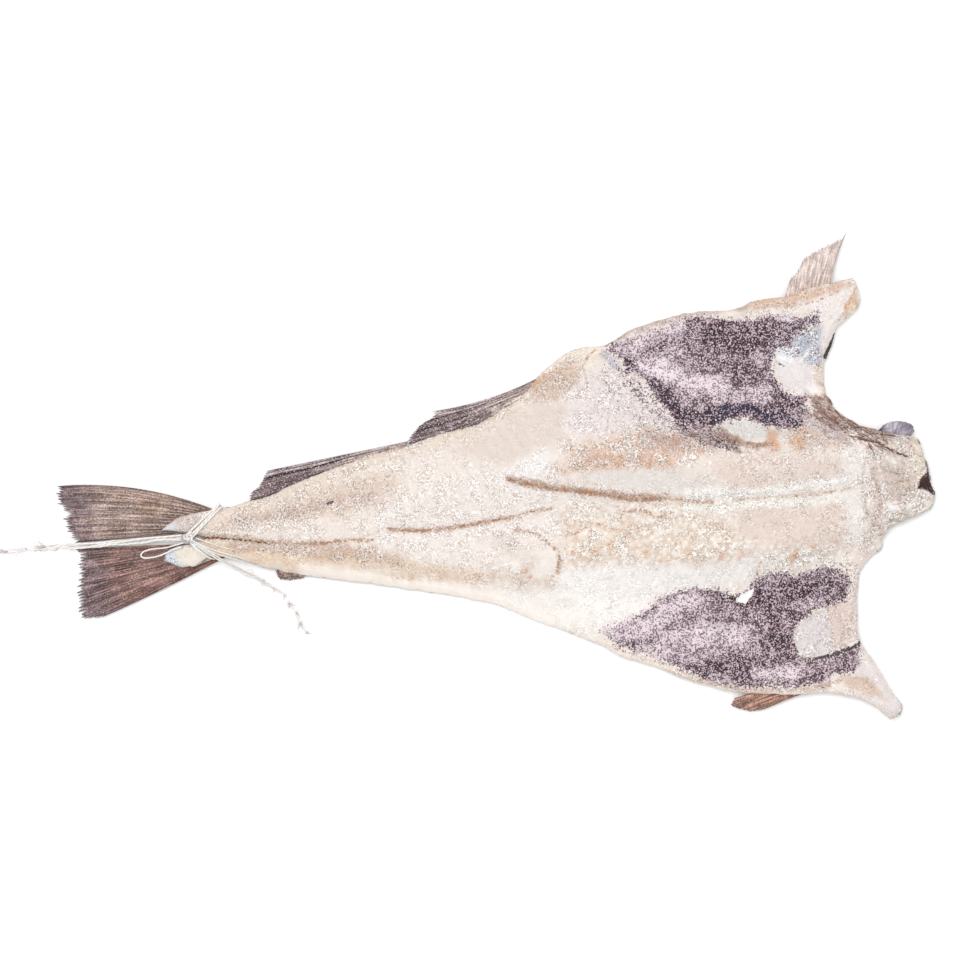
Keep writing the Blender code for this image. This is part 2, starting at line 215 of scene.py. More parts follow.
def noise(x: Array, y: Array, size: float, seed: int) -> Array:
    """Smooth random heights.

    Formula: random numbers at the corners of a turned square lattice, blended across each cell by
    the smoothstep curve.

    Args:
        x, y: the points.
        size: the size of a lattice cell.
        seed: what the random numbers start from.
    Returns:
        Heights from -1 to 1.
    """
    draw = np.random.default_rng(seed)
    table = draw.uniform(-1.0, 1.0, (LATTICE, LATTICE))
    i, j, u, v = lattice(x, y, size, draw.uniform(0.0, math.tau))
    u, v = u * u * (3 - 2 * u), v * v * (3 - 2 * v)
    i, j, after_i, after_j = i % LATTICE, j % LATTICE, (i + 1) % LATTICE, (j + 1) % LATTICE
    low = table[i, j] * (1 - u) + table[after_i, j] * u
    high = table[i, after_j] * (1 - u) + table[after_i, after_j] * u
    return low * (1 - v) + high * v


def layered(x: Array, y: Array, size: float, seed: int, layers: int = 3) -> Array:
    """Noise of several sizes, each layer half as large and 0.55 as high as the last.

    Args:
        x, y: the points.
        size: the size of the first layer's cells.
        seed: what the first layer's random numbers start from.
        layers: how many layers there are.
    Returns:
        Heights from -1 to 1.
    """
    shares = [LAYER_SHARE**k for k in range(layers)]
    total = sum(share * noise(x, y, size / 2**k, seed + k) for k, share in enumerate(shares))
    return total / sum(shares)


def pebbles(x: Array, y: Array, size: float, seed: int) -> Array:
    """Round lumps, one of its own height and place in each lattice cell.

    Formula: the largest over near cells of height times (1 - distance^2 / pebble area).

    Args:
        x, y: the points.
        size: the size of a lattice cell.
        seed: what the random numbers start from.
    Returns:
        Heights from 0 to 1.
    """
    draw = np.random.default_rng(seed)
    place = draw.uniform(0.1, 0.9, (2, LATTICE, LATTICE))
    height = draw.uniform(0.25, 1.0, (LATTICE, LATTICE))
    i, j, u, v = lattice(x, y, size, draw.uniform(0.0, math.tau))
    best = np.zeros(np.shape(x))
    for di in (-1, 0, 1):
        for dj in (-1, 0, 1):
            cell = (i + di) % LATTICE, (j + dj) % LATTICE
            du, dv = di + place[0][cell] - u, dj + place[1][cell] - v
            best = np.maximum(best, height[cell] * (1 - (du * du + dv * dv) / PEBBLE_AREA))
    return best


class Sheet:
    """A closed sheet over a plan grid, with a fine side that shows and a coarser hidden one.

    Both sides meet along the grid's border, at the shown side's height.
    """

    def __init__(self, x: Array, y: Array, skip: int = 1) -> None:
        """Numbers the points.

        Args:
            x: positions along, a column a first index.
            y: positions across.
            skip: the hidden side uses each skip-th point, and must divide the cells of both ways.
        """
        self.plan = np.stack([x, y], -1)
        self.skip = skip
        self.index = np.arange(x.size).reshape(x.shape)
        self.coarse = self.index[::skip, ::skip].copy()
        inner = self.coarse[1:-1, 1:-1]
        self.taken = inner.ravel().copy()
        inner[...] = x.size + np.arange(inner.size).reshape(inner.shape)

    def over(self, values: Array) -> Array:
        """Values of the grid's points as values of all the sheet's points."""
        flat = values.reshape(self.index.size, *values.shape[2:])
        return np.concatenate([flat, flat[self.taken]])

    def points(self, shown: Array, hidden: Array) -> Array:
        """The places of all points, for the heights of the two sides."""
        heights = np.concatenate([shown.ravel(), hidden.ravel()[self.taken]])
        return np.column_stack([self.over(self.plan), heights])

    def border(self) -> Array:
        """The plan of the grid's border, once round and closed."""
        p = self.plan
        return np.concatenate([p[:, 0], p[-1, 1:], p[-2::-1, -1], p[0, -2::-1]])

    def faces(self, shown_up: bool) -> list[list[int]]:
        """The faces, turned outwards.

        Args:
            shown_up: whether the shown side is the upper one.
        Returns:
            Faces of the shown side, then of the hidden one, as lists of point numbers.
        """
        ring = self.border()
        turn = (ring[:-1, 0] * ring[1:, 1] - ring[1:, 0] * ring[:-1, 1]).sum()
        ahead = (turn > 0) == shown_up
        shown = quads(self.index)
        if self.skip == 1:
            hidden = quads(self.coarse).tolist()
        else:
            hidden = quads(self.coarse[1:-1, 1:-1]).tolist() + self._rim()
        shown = shown if ahead else shown[:, ::-1]
        return shown.tolist() + [face[::-1] if ahead else face for face in hidden]

    def _rim(self) -> list[list[int]]:
        """The hidden side's cells along the border, which take in all of its points."""
        index, coarse, skip = self.index, self.coarse, self.skip
        last_i, last_j = coarse.shape[0] - 2, coarse.shape[1] - 2
        cells = [(i, j) for i in (0, last_i) for j in range(last_j + 1)]
        cells += [(i, j) for j in (0, last_j) for i in range(1, last_i)]
        faces = []
        for i, j in cells:
            a, b, c, d = i * skip, (i + 1) * skip, j * skip, (j + 1) * skip
            sides = (
                index[a:b, 0] if j == 0 else coarse[i : i + 1, j],
                index[-1, c:d] if i == last_i else coarse[i + 1 : i + 2, j],
                index[b:a:-1, -1] if j == last_j else coarse[i + 1 : i + 2, j + 1],
                index[0, d:c:-1] if i == 0 else coarse[i : i + 1, j + 1],
            )
            faces.append(np.concatenate(sides).tolist())
        return faces


def quads(index: Array) -> Array:
    """The four-sided cells of a grid of point numbers."""
    corners = (index[:-1, :-1], index[1:, :-1], index[1:, 1:], index[:-1, 1:])
    return np.stack(corners, -1).reshape(-1, 4)


def tube(path: Array, radius: Array, sides: int, closed: bool = False) -> Form:
    """A tube round a path, with its ends drawn to a point or joined.

    Formula: path + radius (cos a N + sin a B), where N and B lie across the path's direction.

    Args:
        path: the points of its middle, in millimetres.
        radius: the radius at each point, or at each point and side.
        sides: how many sides it has.
        closed: whether its last ring joins its first.
    Returns:
        Its points and faces.
    """
    ahead = np.roll(path, -1, 0) - np.roll(path, 1, 0)
    if not closed:
        ahead[0], ahead[-1] = path[1] - path[0], path[-1] - path[-2]
    ahead /= np.linalg.norm(ahead, axis=1, keepdims=True)
    side = np.cross(ahead, (0.13, 0.21, 0.97))
    side /= np.maximum(np.linalg.norm(side, axis=1, keepdims=True), 1e-6)
    up = np.cross(side, ahead)
    angle = np.linspace(0.0, math.tau, sides, endpoint=False)[None, :, None]
    reach = np.broadcast_to(radius if radius.ndim == 2 else radius[:, None], (len(path), sides))
    ring = np.cos(angle) * side[:, None] + np.sin(angle) * up[:, None]
    points = (path[:, None] + reach[..., None] * ring).reshape(-1, 3)
    index = np.arange(len(path) * sides).reshape(len(path), sides)
    index = np.concatenate([index, index[:, :1]], 1)
    if closed:
        index = np.concatenate([index, index[:1]], 0)
        return points, quads(index)[:, ::-1].tolist()
    faces = quads(index)[:, ::-1].tolist()
    faces.append(index[0, :-1].tolist())
    faces.append(index[-1, -2::-1].tolist())
    return points, faces


def several(parts: Sequence[Form]) -> Form:
    """Several forms as one.

    Args:
        parts: the points and faces of each.
    Returns:
        The points and faces of them all.
    """
    points, faces, first = [], [], 0
    for places, cells in parts:
        points.append(places)
        faces += [[first + k for k in cell] for cell in cells]
        first += len(places)
    return np.concatenate(points), faces


# Pieces


def paint(tone: Tone) -> Array:
    """The paint that shows as a tone of the photo, from 0 to 255, in the light of the studio."""
    share = np.array(tone, float) / 255
    linear = np.where(share <= 0.04045, share / 12.92, ((share + 0.055) / 1.055) ** 2.4)
    return linear / STUDIO_LIGHT


def washed(tint: Array, mask: Array, tone: Tone) -> Array:
    """Colours changed into a tone where a mask is one."""
    return tint + mask[..., None] * (paint(tone) - tint)


def piece(
    name: str,
    form: Form,
    finish: Material,
    nodes: Sequence[str] = (),
    values: dict[str, Array] | None = None,
) -> bpy.types.Object:
    """Puts a mesh into the scene as a piece of the part.

    Args:
        name: the piece's name.
        form: its points, in millimetres, and its faces.
        finish: its material.
        nodes: the CAD nodes that it stands for.
        values: numbers or colours for each point, by name.
    Returns:
        The object, which rides on the root body.
    """
    points, faces = form
    mesh = bpy.data.meshes.new(name)
    mesh.from_pydata((points * MM).tolist(), [], faces)
    for label, value in (values or {}).items():
        kind, part = "FLOAT", "value"
        if value.ndim == 2:
            kind, part = "FLOAT_COLOR", "color"
            value = np.column_stack([value, np.ones(len(value))])
        mesh.attributes.new(label, kind, "POINT").data.foreach_set(part, value.ravel())
    mesh.shade_smooth()
    mesh.materials.append(finish)
    mesh.update()
    item = placed(name, mesh)
    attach(item, "root")
    if nodes:
        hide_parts(*nodes)
    LOG.info("%s: %d faces", name, len(faces))
    return item


def placed(name: str, data: bpy.types.ID) -> bpy.types.Object:
    """A new object of the scene that holds a mesh, camera or light."""
    item = bpy.data.objects.new(name, data)
    bpy.context.scene.collection.objects.link(item)
    return item


# Finishes


class Graph:
    """The nodes of one material or group, with short ways to add and join them."""

    def __init__(self, tree: bpy.types.NodeTree) -> None:
        """Takes the tree to work on."""
        self.tree = tree

    def add(
        self, kind: str, feeds: dict[str | int, Source] | None = None, **settings: object
    ) -> bpy.types.Node:
        """Adds a node.

        Args:
            kind: the node's type, without the word that all types of shader nodes start with.
            feeds: sockets or plain values for its inputs, by name or number.
            settings: the node's own settings.
        Returns:
            The node.
        """
        node = self.tree.nodes.new(kind if kind.startswith("Node") else f"ShaderNode{kind}")
        for name, value in settings.items():
            setattr(node, name, value)
        for name, source in (feeds or {}).items():
            self.feed(node.inputs[name], source)
        return node

    def feed(self, socket: Socket, source: Source) -> None:
        """Joins a socket to another, or gives it a plain value.

        Args:
            socket: an input.
            source: what feeds it.
        """
        if isinstance(source, Socket):
            self.tree.links.new(source, socket)
        else:
            socket.default_value = source

    def math(self, operation: str, a: Source, b: Source = 0.0) -> Socket:
        """The result of a sum on two numbers."""
        return self.add("Math", {0: a, 1: b}, operation=operation).outputs[0]

    def plus(self, a: Source, b: Source) -> Socket:
        """One number and another."""
        return self.math("ADD", a, b)

    def minus(self, a: Source, b: Source) -> Socket:
        """One number less another."""
        return self.math("SUBTRACT", a, b)

    def times(self, a: Source, b: Source) -> Socket:
        """One number times another."""
        return self.math("MULTIPLY", a, b)

    def vector(self, operation: str, feeds: dict[int, Source]) -> Socket:
        """The result of a sum on colours or places."""
        return self.add("VectorMath", feeds, operation=operation).outputs[0]

    def scaled(self, colour: Source, factor: Source) -> Socket:
        """A colour made lighter or darker by a factor."""
        return self.vector("SCALE", {0: colour, 3: factor})

    def rise(self, value: Source, low: Source, high: Source) -> Socket:
        """A smooth rise from nothing at low to one at high."""
        feeds = {"Value": value, "From Min": low, "From Max": high}
        return self.add("MapRange", feeds, interpolation_type="SMOOTHSTEP").outputs[0]

    def mix(self, share: Source, first: Source, second: Source) -> Socket:
        """One colour changed into another by a share."""
        feeds = {0: share, 6: coloured(first), 7: coloured(second)}
        return self.add("Mix", feeds, data_type="RGBA").outputs[2]

    def cover(self, base: Source, tone: Source, mask: Source, most: float) -> Socket:
        """A colour covered by another where a mask is one, by at most a share."""
        return self.mix(self.times(mask, most), base, tone)

    def value(self, name: str) -> Socket:
        """A number that each point of the piece holds."""
        return self.add("Attribute", attribute_name=name).outputs["Fac"]

    def colour(self, name: str) -> Socket:
        """A colour that each point of the piece holds."""
        return self.add("Attribute", attribute_name=name).outputs["Color"]

    def place(self) -> Socket:
        """The piece's own coordinates, in metres."""
        return self.add("TexCoord").outputs["Object"]

    def cloud(self, size: float, detail: float = 2.0, where: Source | None = None) -> Socket:
        """Noise from 0 to 1, whose features are about a size in millimetres."""
        feeds = {"Vector": where or self.place(), "Scale": 1 / (size * MM), "Detail": detail}
        return self.add("TexNoise", feeds).outputs[0]

    def waver(self, size: float, detail: float, reach: float) -> Socket:
        """Noise about zero, whose lowest and highest values are a reach apart."""
        return self.times(self.minus(self.cloud(size, detail), 0.5), reach)

    def grain(
        self, effects: Effects, colour: Source, strength: Source, mottle: float, size: float = 1.3
    ) -> dict[str, Socket]:
        """The shared grain on a colour, as its outputs by name."""
        feeds = {"Colour": colour, "Strength": strength, "Mottle": mottle, "Size": size}
        return self.add("Group", feeds, node_tree=effects.grain).outputs

    def flecks(self, effects: Effects, amount: Source, shift: float) -> Socket:
        """The shared flecks as a mask, in a pattern moved by a shift."""
        feeds = {"Amount": amount, "Shift": shift}
        return self.add("Group", feeds, node_tree=effects.flecks).outputs[0]


def coloured(source: Source) -> Source:
    """A colour given from 0 to 255 as a socket's value, or a socket as it is."""
    return source if isinstance(source, Socket) else (*paint(source), 1.0)


class Effects:
    """The effects that several finishes share, each a node group."""

    warmth = (0.86, 1.04, 1.2)
    fleck_size = 1.25

    def __init__(self) -> None:
        """Builds the groups."""
        self.grain = self._grain()
        self.flecks = self._flecks()

    @staticmethod
    def _new(name: str, inputs: dict[str, float | None], outputs: dict[str, str]) -> tuple:
        """An empty group.

        Args:
            name: its name.
            inputs: its inputs' values at first, or None for a colour.
            outputs: its outputs' kinds.
        Returns:
            Its graph, the sockets that it is given and the sockets that it puts out.
        """
        tree = bpy.data.node_groups.new(name, "ShaderNodeTree")
        for label, preset in inputs.items():
            kind = "NodeSocketColor" if preset is None else "NodeSocketFloat"
            socket = tree.interface.new_socket(name=label, in_out="INPUT", socket_type=kind)
            if preset is not None:
                socket.default_value = preset
        for label, kind in outputs.items():
            tree.interface.new_socket(name=label, in_out="OUTPUT", socket_type=kind)
        graph = Graph(tree)
        return graph, graph.add("NodeGroupInput").outputs, graph.add("NodeGroupOutput").inputs

    def _grain(self) -> bpy.types.NodeTree:
        """Fine grain and soft mottling that lighten a colour, and darken it to a warmer one.

        Formula: colour (1 + warmth (strength (2 fine - 1) + mottle (2 broad - 1))), with a warmth
        for each of red, green and blue.
        """
        inputs = {"Colour": None, "Strength": 0.3, "Mottle": 0.1, "Size": 1.3}
        outputs = {"Colour": "NodeSocketColor", "Height": "NodeSocketFloat"}
        graph, given, made = self._new("grain", inputs, outputs)
        scale = graph.math("DIVIDE", 1 / MM, given["Size"])
        feeds = {"Vector": graph.place(), "Scale": scale, "Detail": 2.0}
        fine = graph.rise(graph.add("TexNoise", feeds).outputs[0], 0.38, 0.62)
        broad = graph.rise(graph.cloud(9.0, 3.0), 0.3, 0.7)
        swing = graph.times(graph.minus(fine, 0.5), given["Strength"])
        drift = graph.times(graph.minus(broad, 0.5), given["Mottle"])
        swing = graph.times(graph.plus(swing, drift), 2.0)
        factor = graph.vector("ADD", {0: graph.scaled(self.warmth, swing), 1: (1.0, 1.0, 1.0)})
        graph.feed(made["Colour"], graph.vector("MULTIPLY", {0: given["Colour"], 1: factor}))
        graph.feed(made["Height"], fine)
        return graph.tree

    def _flecks(self) -> bpy.types.NodeTree:
        """Small flecks, like salt, where fine noise passes a limit that falls with the amount."""
        outputs = {"Mask": "NodeSocketFloat"}
        graph, given, made = self._new("flecks", {"Amount": 0.3, "Shift": 0.0}, outputs)
        moved = graph.vector("ADD", {0: graph.place(), 1: given["Shift"]})
        fine = graph.cloud(self.fleck_size, 1.0, moved)
        low = graph.minus(0.74, graph.times(given["Amount"], 0.36))
        graph.feed(made["Mask"], graph.rise(fine, low, graph.plus(low, 0.07)))
        return graph.tree


@dataclass(frozen=True)
class Finish:
    """What all finishes share: a name, and a shader with roughness and fine relief."""

    name: str
    roughness: float = 0.7
    relief: float = 0.3

    specular = 0.35
    bump_strength = 0.9

    def build(self, effects: Effects) -> Material:
        """Makes the material.

        Args:
            effects: the shared effects.
        Returns:
            The material, with the finish's colour, and its height in the relief's millimetres.
        """
        material = bpy.data.materials.new(self.name)
        material.use_nodes = True
        graph = Graph(material.node_tree)
        shader = material.node_tree.nodes["Principled BSDF"]
        shader.inputs["Roughness"].default_value = self.roughness
        shader.inputs["Specular IOR Level"].default_value = self.specular
        colour, height = self.look(graph, shader.inputs, effects)
        if height is not None:
            feeds = {"Height": height, "Distance": self.relief * MM, "Strength": self.bump_strength}
            graph.feed(shader.inputs["Normal"], graph.add("Bump", feeds).outputs[0])
        graph.feed(shader.inputs["Base Color"], colour)
        return material


@dataclass(frozen=True)
class FleshFinish(Finish):
    """Salted flesh with the dark lining of the belly on it.

    Each point holds its tint, how coarse its grain is, how deep in a crease it lies, how far
    inside the lining it is, how much the lining is veiled with salt (less than none where it is
    darkest), how blue it is and how far inside a thin dark line.
    """

    lining_dark: Tone = (36, 13, 24)
    lining_warm: Tone = (80, 47, 54)
    lining_light: Tone = (199, 173, 184)
    veil_dark: Tone = (156, 130, 142)
    veil_light: Tone = (249, 235, 240)
    blue_black: Tone = (42, 34, 62)
    brown: Tone = (158, 118, 94)
    crease_tone: Tone = (206, 172, 146)
    crease_heart: Tone = (176, 130, 100)
    ink: Tone = (62, 46, 50)
    clump_size: float = 3.4
    ragged_reach: float = 10.0
    fringe_reach: float = 9.0
    lining_sheen: float = 0.1

    def look(self, graph: Graph, shader: dict[str, Socket], effects: Effects) -> tuple[Socket, ...]:
        """The flesh and its lining.

        Args:
            graph: the material's graph.
            shader: the shader's inputs.
            effects: the shared effects.
        Returns:
            The colour and the height.
        """
        patchy = graph.plus(0.3, graph.times(graph.rise(graph.cloud(10.0, 3.0), 0.36, 0.64), 1.1))
        coarse = graph.times(graph.value("coarse"), patchy)
        ragged = graph.waver(2.2, 3.0, self.ragged_reach)
        flesh, grain, salt = self._flesh(graph, effects, coarse, ragged)
        lining, white = self._lining(graph)
        edge = graph.plus(graph.value("lining"), graph.waver(4.0, 4.0, self.fringe_reach))
        edge = graph.plus(edge, graph.waver(1.5, 1.0, self.fringe_reach))
        mask = graph.rise(edge, -0.5, 0.7)
        height = graph.plus(graph.times(grain, coarse), graph.times(salt, 0.4))
        height = graph.plus(height, graph.times(white, graph.times(mask, 0.5)))
        rough = graph.minus(self.roughness, graph.times(mask, self.lining_sheen))
        graph.feed(shader["Roughness"], rough)
        ink = graph.rise(graph.plus(graph.value("ink"), graph.times(ragged, 0.45)), -0.1, 0.6)
        return graph.cover(graph.mix(mask, flesh, lining), self.ink, ink, 0.85), height

    def _flesh(
        self, graph: Graph, effects: Effects, coarse: Socket, ragged: Socket
    ) -> tuple[Socket, ...]:
        """The flesh with its grain, creases, brown specks and salt.

        Args:
            graph: the material's graph.
            effects: the shared effects.
            coarse: how coarse the grain is.
            ragged: how much a crease's edge wavers.
        Returns:
            The colour, the grain's height and the salt's mask.
        """
        strength = graph.plus(graph.times(graph.math("POWER", coarse, 1.5), 0.46), 0.01)
        grain = graph.grain(effects, graph.colour("tint"), strength, 0.03)
        clumps = graph.times(coarse, 0.1)
        flesh = graph.grain(effects, grain["Colour"], clumps, 0.0, self.clump_size)["Colour"]
        crease = graph.plus(graph.value("crease"), ragged)
        flesh = graph.cover(flesh, self.crease_tone, graph.rise(crease, -0.3, 0.6), 0.7)
        broken = graph.rise(graph.cloud(5.0, 3.0), 0.3, 0.5)
        heart = graph.times(graph.rise(crease, 0.9, 1.4), broken)
        flesh = graph.cover(flesh, self.crease_heart, heart, 0.85)
        brown = graph.flecks(effects, graph.value("specks"), 0.67)
        flesh = graph.cover(flesh, self.brown, brown, 0.5)
        salt = graph.flecks(effects, graph.times(coarse, 0.7), 0.31)
        return graph.cover(flesh, SALT_TONE, salt, 0.5), grain["Height"], salt

    def _lining(self, graph: Graph) -> tuple[Socket, ...]:
        """The belly's lining, dark with pale pepper on it.

        Args:
            graph: the material's graph.
        Returns:
            The colour and the pepper's mask.
        """
        veil = graph.value("veil")
        warm = graph.times(graph.rise(graph.cloud(3.0), 0.42, 0.62), 0.8)
        dark = graph.mix(warm, self.lining_dark, self.lining_warm)
        dark = graph.mix(graph.value("blue"), dark, self.blue_black)
        dark = graph.mix(veil, dark, self.veil_dark)
        light = graph.mix(veil, self.lining_light, self.veil_light)
        pepper = graph.plus(graph.cloud(1.35, 2.5), graph.waver(4.0, 3.0, 0.45))
        low = graph.minus(0.52, graph.times(veil, 0.085))
        white = graph.rise(pepper, graph.minus(low, 0.02), graph.plus(low, 0.075))
        return graph.mix(white, dark, light), white


@dataclass(frozen=True)
class SkinFinish(Finish):
    """Skin with small scales and brown spots. Each point holds its tint and how spotted it is."""

    spot: Tone = (96, 80, 62)
    salt_tone: Tone = (236, 232, 226)
    scale_size: float = 2.2
    scale_edge: float = 0.62

    def look(self, graph: Graph, shader: dict[str, Socket], effects: Effects) -> tuple[Socket, ...]:
        """The skin.

        Args:
            graph: the material's graph.
            shader: the shader's inputs.
            effects: the shared effects.
        Returns:
            The colour and the height.
        """
        feeds = {"Vector": graph.place(), "Scale": 1 / (self.scale_size * MM)}
        cells = graph.add("TexVoronoi", feeds)
        scales = graph.math("MINIMUM", cells.outputs["Distance"], 0.8)
        grain = graph.grain(effects, graph.colour("tint"), 0.08, 0.09)
        spots = graph.times(graph.rise(graph.cloud(7.0, 2.5), 0.55, 0.66), graph.value("spotted"))
        colour = graph.mix(spots, grain["Colour"], self.spot)
        colour = graph.cover(colour, graph.scaled(colour, self.scale_edge), scales, 0.35)
        colour = graph.cover(colour, self.salt_tone, graph.flecks(effects, 0.28, 0.11), 0.55)
        return colour, graph.minus(1.0, scales)


@dataclass(frozen=True)
class FinFinish(Finish):
    """Dried fin: streaks along its rays, and salt. Each point holds its tint and its lay."""

    salt_amount: float = 0.3
    streaks: float = 0.3
    speckle: float = 0.26
    salt_share: float = 0.55
    salt_tone: Tone = (236, 226, 222)

    def look(self, graph: Graph, shader: dict[str, Socket], effects: Effects) -> tuple[Socket, ...]:
        """The fin.

        Args:
            graph: the material's graph.
            shader: the shader's inputs.
            effects: the shared effects.
        Returns:
            The colour and the height.
        """
        streak = graph.rise(graph.cloud(1 / MM, 3.0, graph.colour("lay")), 0.37, 0.63)
        factor = graph.plus(1.0 - self.streaks, graph.times(streak, 2 * self.streaks))
        colour = graph.scaled(graph.colour("tint"), factor)
        grain = graph.grain(effects, colour, self.speckle, 0.14)
        salt = graph.flecks(effects, self.salt_amount, 0.45)
        colour = graph.cover(grain["Colour"], self.salt_tone, salt, self.salt_share)
        return colour, graph.plus(streak, graph.times(grain["Height"], 0.5))


@dataclass(frozen=True)
class TwineFinish(Finish):
    """Natural twine: fibres, and painted shade in the creases between its yarns."""

    tone: Tone = (255, 252, 248)
    # The tone of the painted shade in the creases.
    crease_tone: Tone = (178, 154, 148)

    def look(self, graph: Graph, shader: dict[str, Socket], effects: Effects) -> tuple[Socket, ...]:
        """The twine.

        Args:
            graph: the material's graph.
            shader: the shader's inputs.
            effects: the shared effects.
        Returns:
            The colour and the height.
        """
        fuzz = graph.cloud(0.5, 3.0)
        # Painted shade: the crease tone darkens the twine where a point lies deep between its
        # yarns.
        crease = graph.times(graph.rise(graph.value("crease"), 0.35, 1.0), graph.plus(0.35, fuzz))
        colour = graph.cover(self.tone, self.crease_tone, crease, 0.8)
        return graph.grain(effects, colour, 0.06, 0.05)["Colour"], fuzz


@dataclass(frozen=True)
class SaltFinish(Finish):
    """Grains of salt, with a clear coat. Each point holds its tint."""

    coat: float = 0.25
    coat_roughness: float = 0.25

    def look(self, graph: Graph, shader: dict[str, Socket], effects: Effects) -> tuple[Socket, ...]:
        """The salt.

        Args:
            graph: the material's graph.
            shader: the shader's inputs.
            effects: the shared effects.
        Returns:
            The colour and the height.
        """
        shader["Coat Weight"].default_value = self.coat
        shader["Coat Roughness"].default_value = self.coat_roughness
        grain = graph.grain(effects, graph.colour("tint"), 0.05, 0.03)
        return grain["Colour"], grain["Height"]


@dataclass(frozen=True)
class FloorFinish(Finish):
    """A plain pale floor."""

    tone: Tone = (254, 254, 254)
    lightness: float = 1.24

    def look(
        self, graph: Graph, shader: dict[str, Socket], effects: Effects
    ) -> tuple[Socket, None]:
        """The floor's colour, and no height."""
        grain = graph.grain(effects, coloured(self.tone), 0.002, 0.004)
        return graph.scaled(grain["Colour"], self.lightness), None


# Tones of the flesh


@dataclass(frozen=True)
class Wash:
    """One tone of the flesh, over an area of the photo or along a line of it.

    Its edge is softened over some pixels and broken up by noise, also given in pixels. It may
    also set how coarse the grain is there, how many brown specks it has and how broken up it is.
    """

    tone: Tone
    line: str
    reach: float = 0.0
    soft: float = 4.0
    ragged: float = 5.0
    strength: float = 1.0
    coarse: float | None = None
    specks: float | None = None
    broken: float = 0.0

    def mask(self, x: Array, y: Array, seed: int) -> Array:
        """How strong the wash is at each place.

        Args:
            x, y: the places.
            seed: what its ragged edge starts from.
        Returns:
            Its strength, from 0 to 1.
        """
        reach, soft = self.reach * PIXEL, self.soft * PIXEL
        inset = reach - from_line(self.line, x, y) if reach else inside_by(self.line, x, y)
        inset = inset + self.ragged * PIXEL * layered(x, y, 7.0, seed)
        gaps = 1 - smoothstep(-0.15, 0.3, layered(x, y, 3.6, seed + 3, 2))
        return self.strength * smoothstep(-soft, soft, inset) * (1 - self.broken * gaps)


FLESH_BASE = (240, 229, 221)
NECK_HOLLOW = "917,489 919,480 927,471 926,460 923,452 930,450 938,482 940,498 924,490"

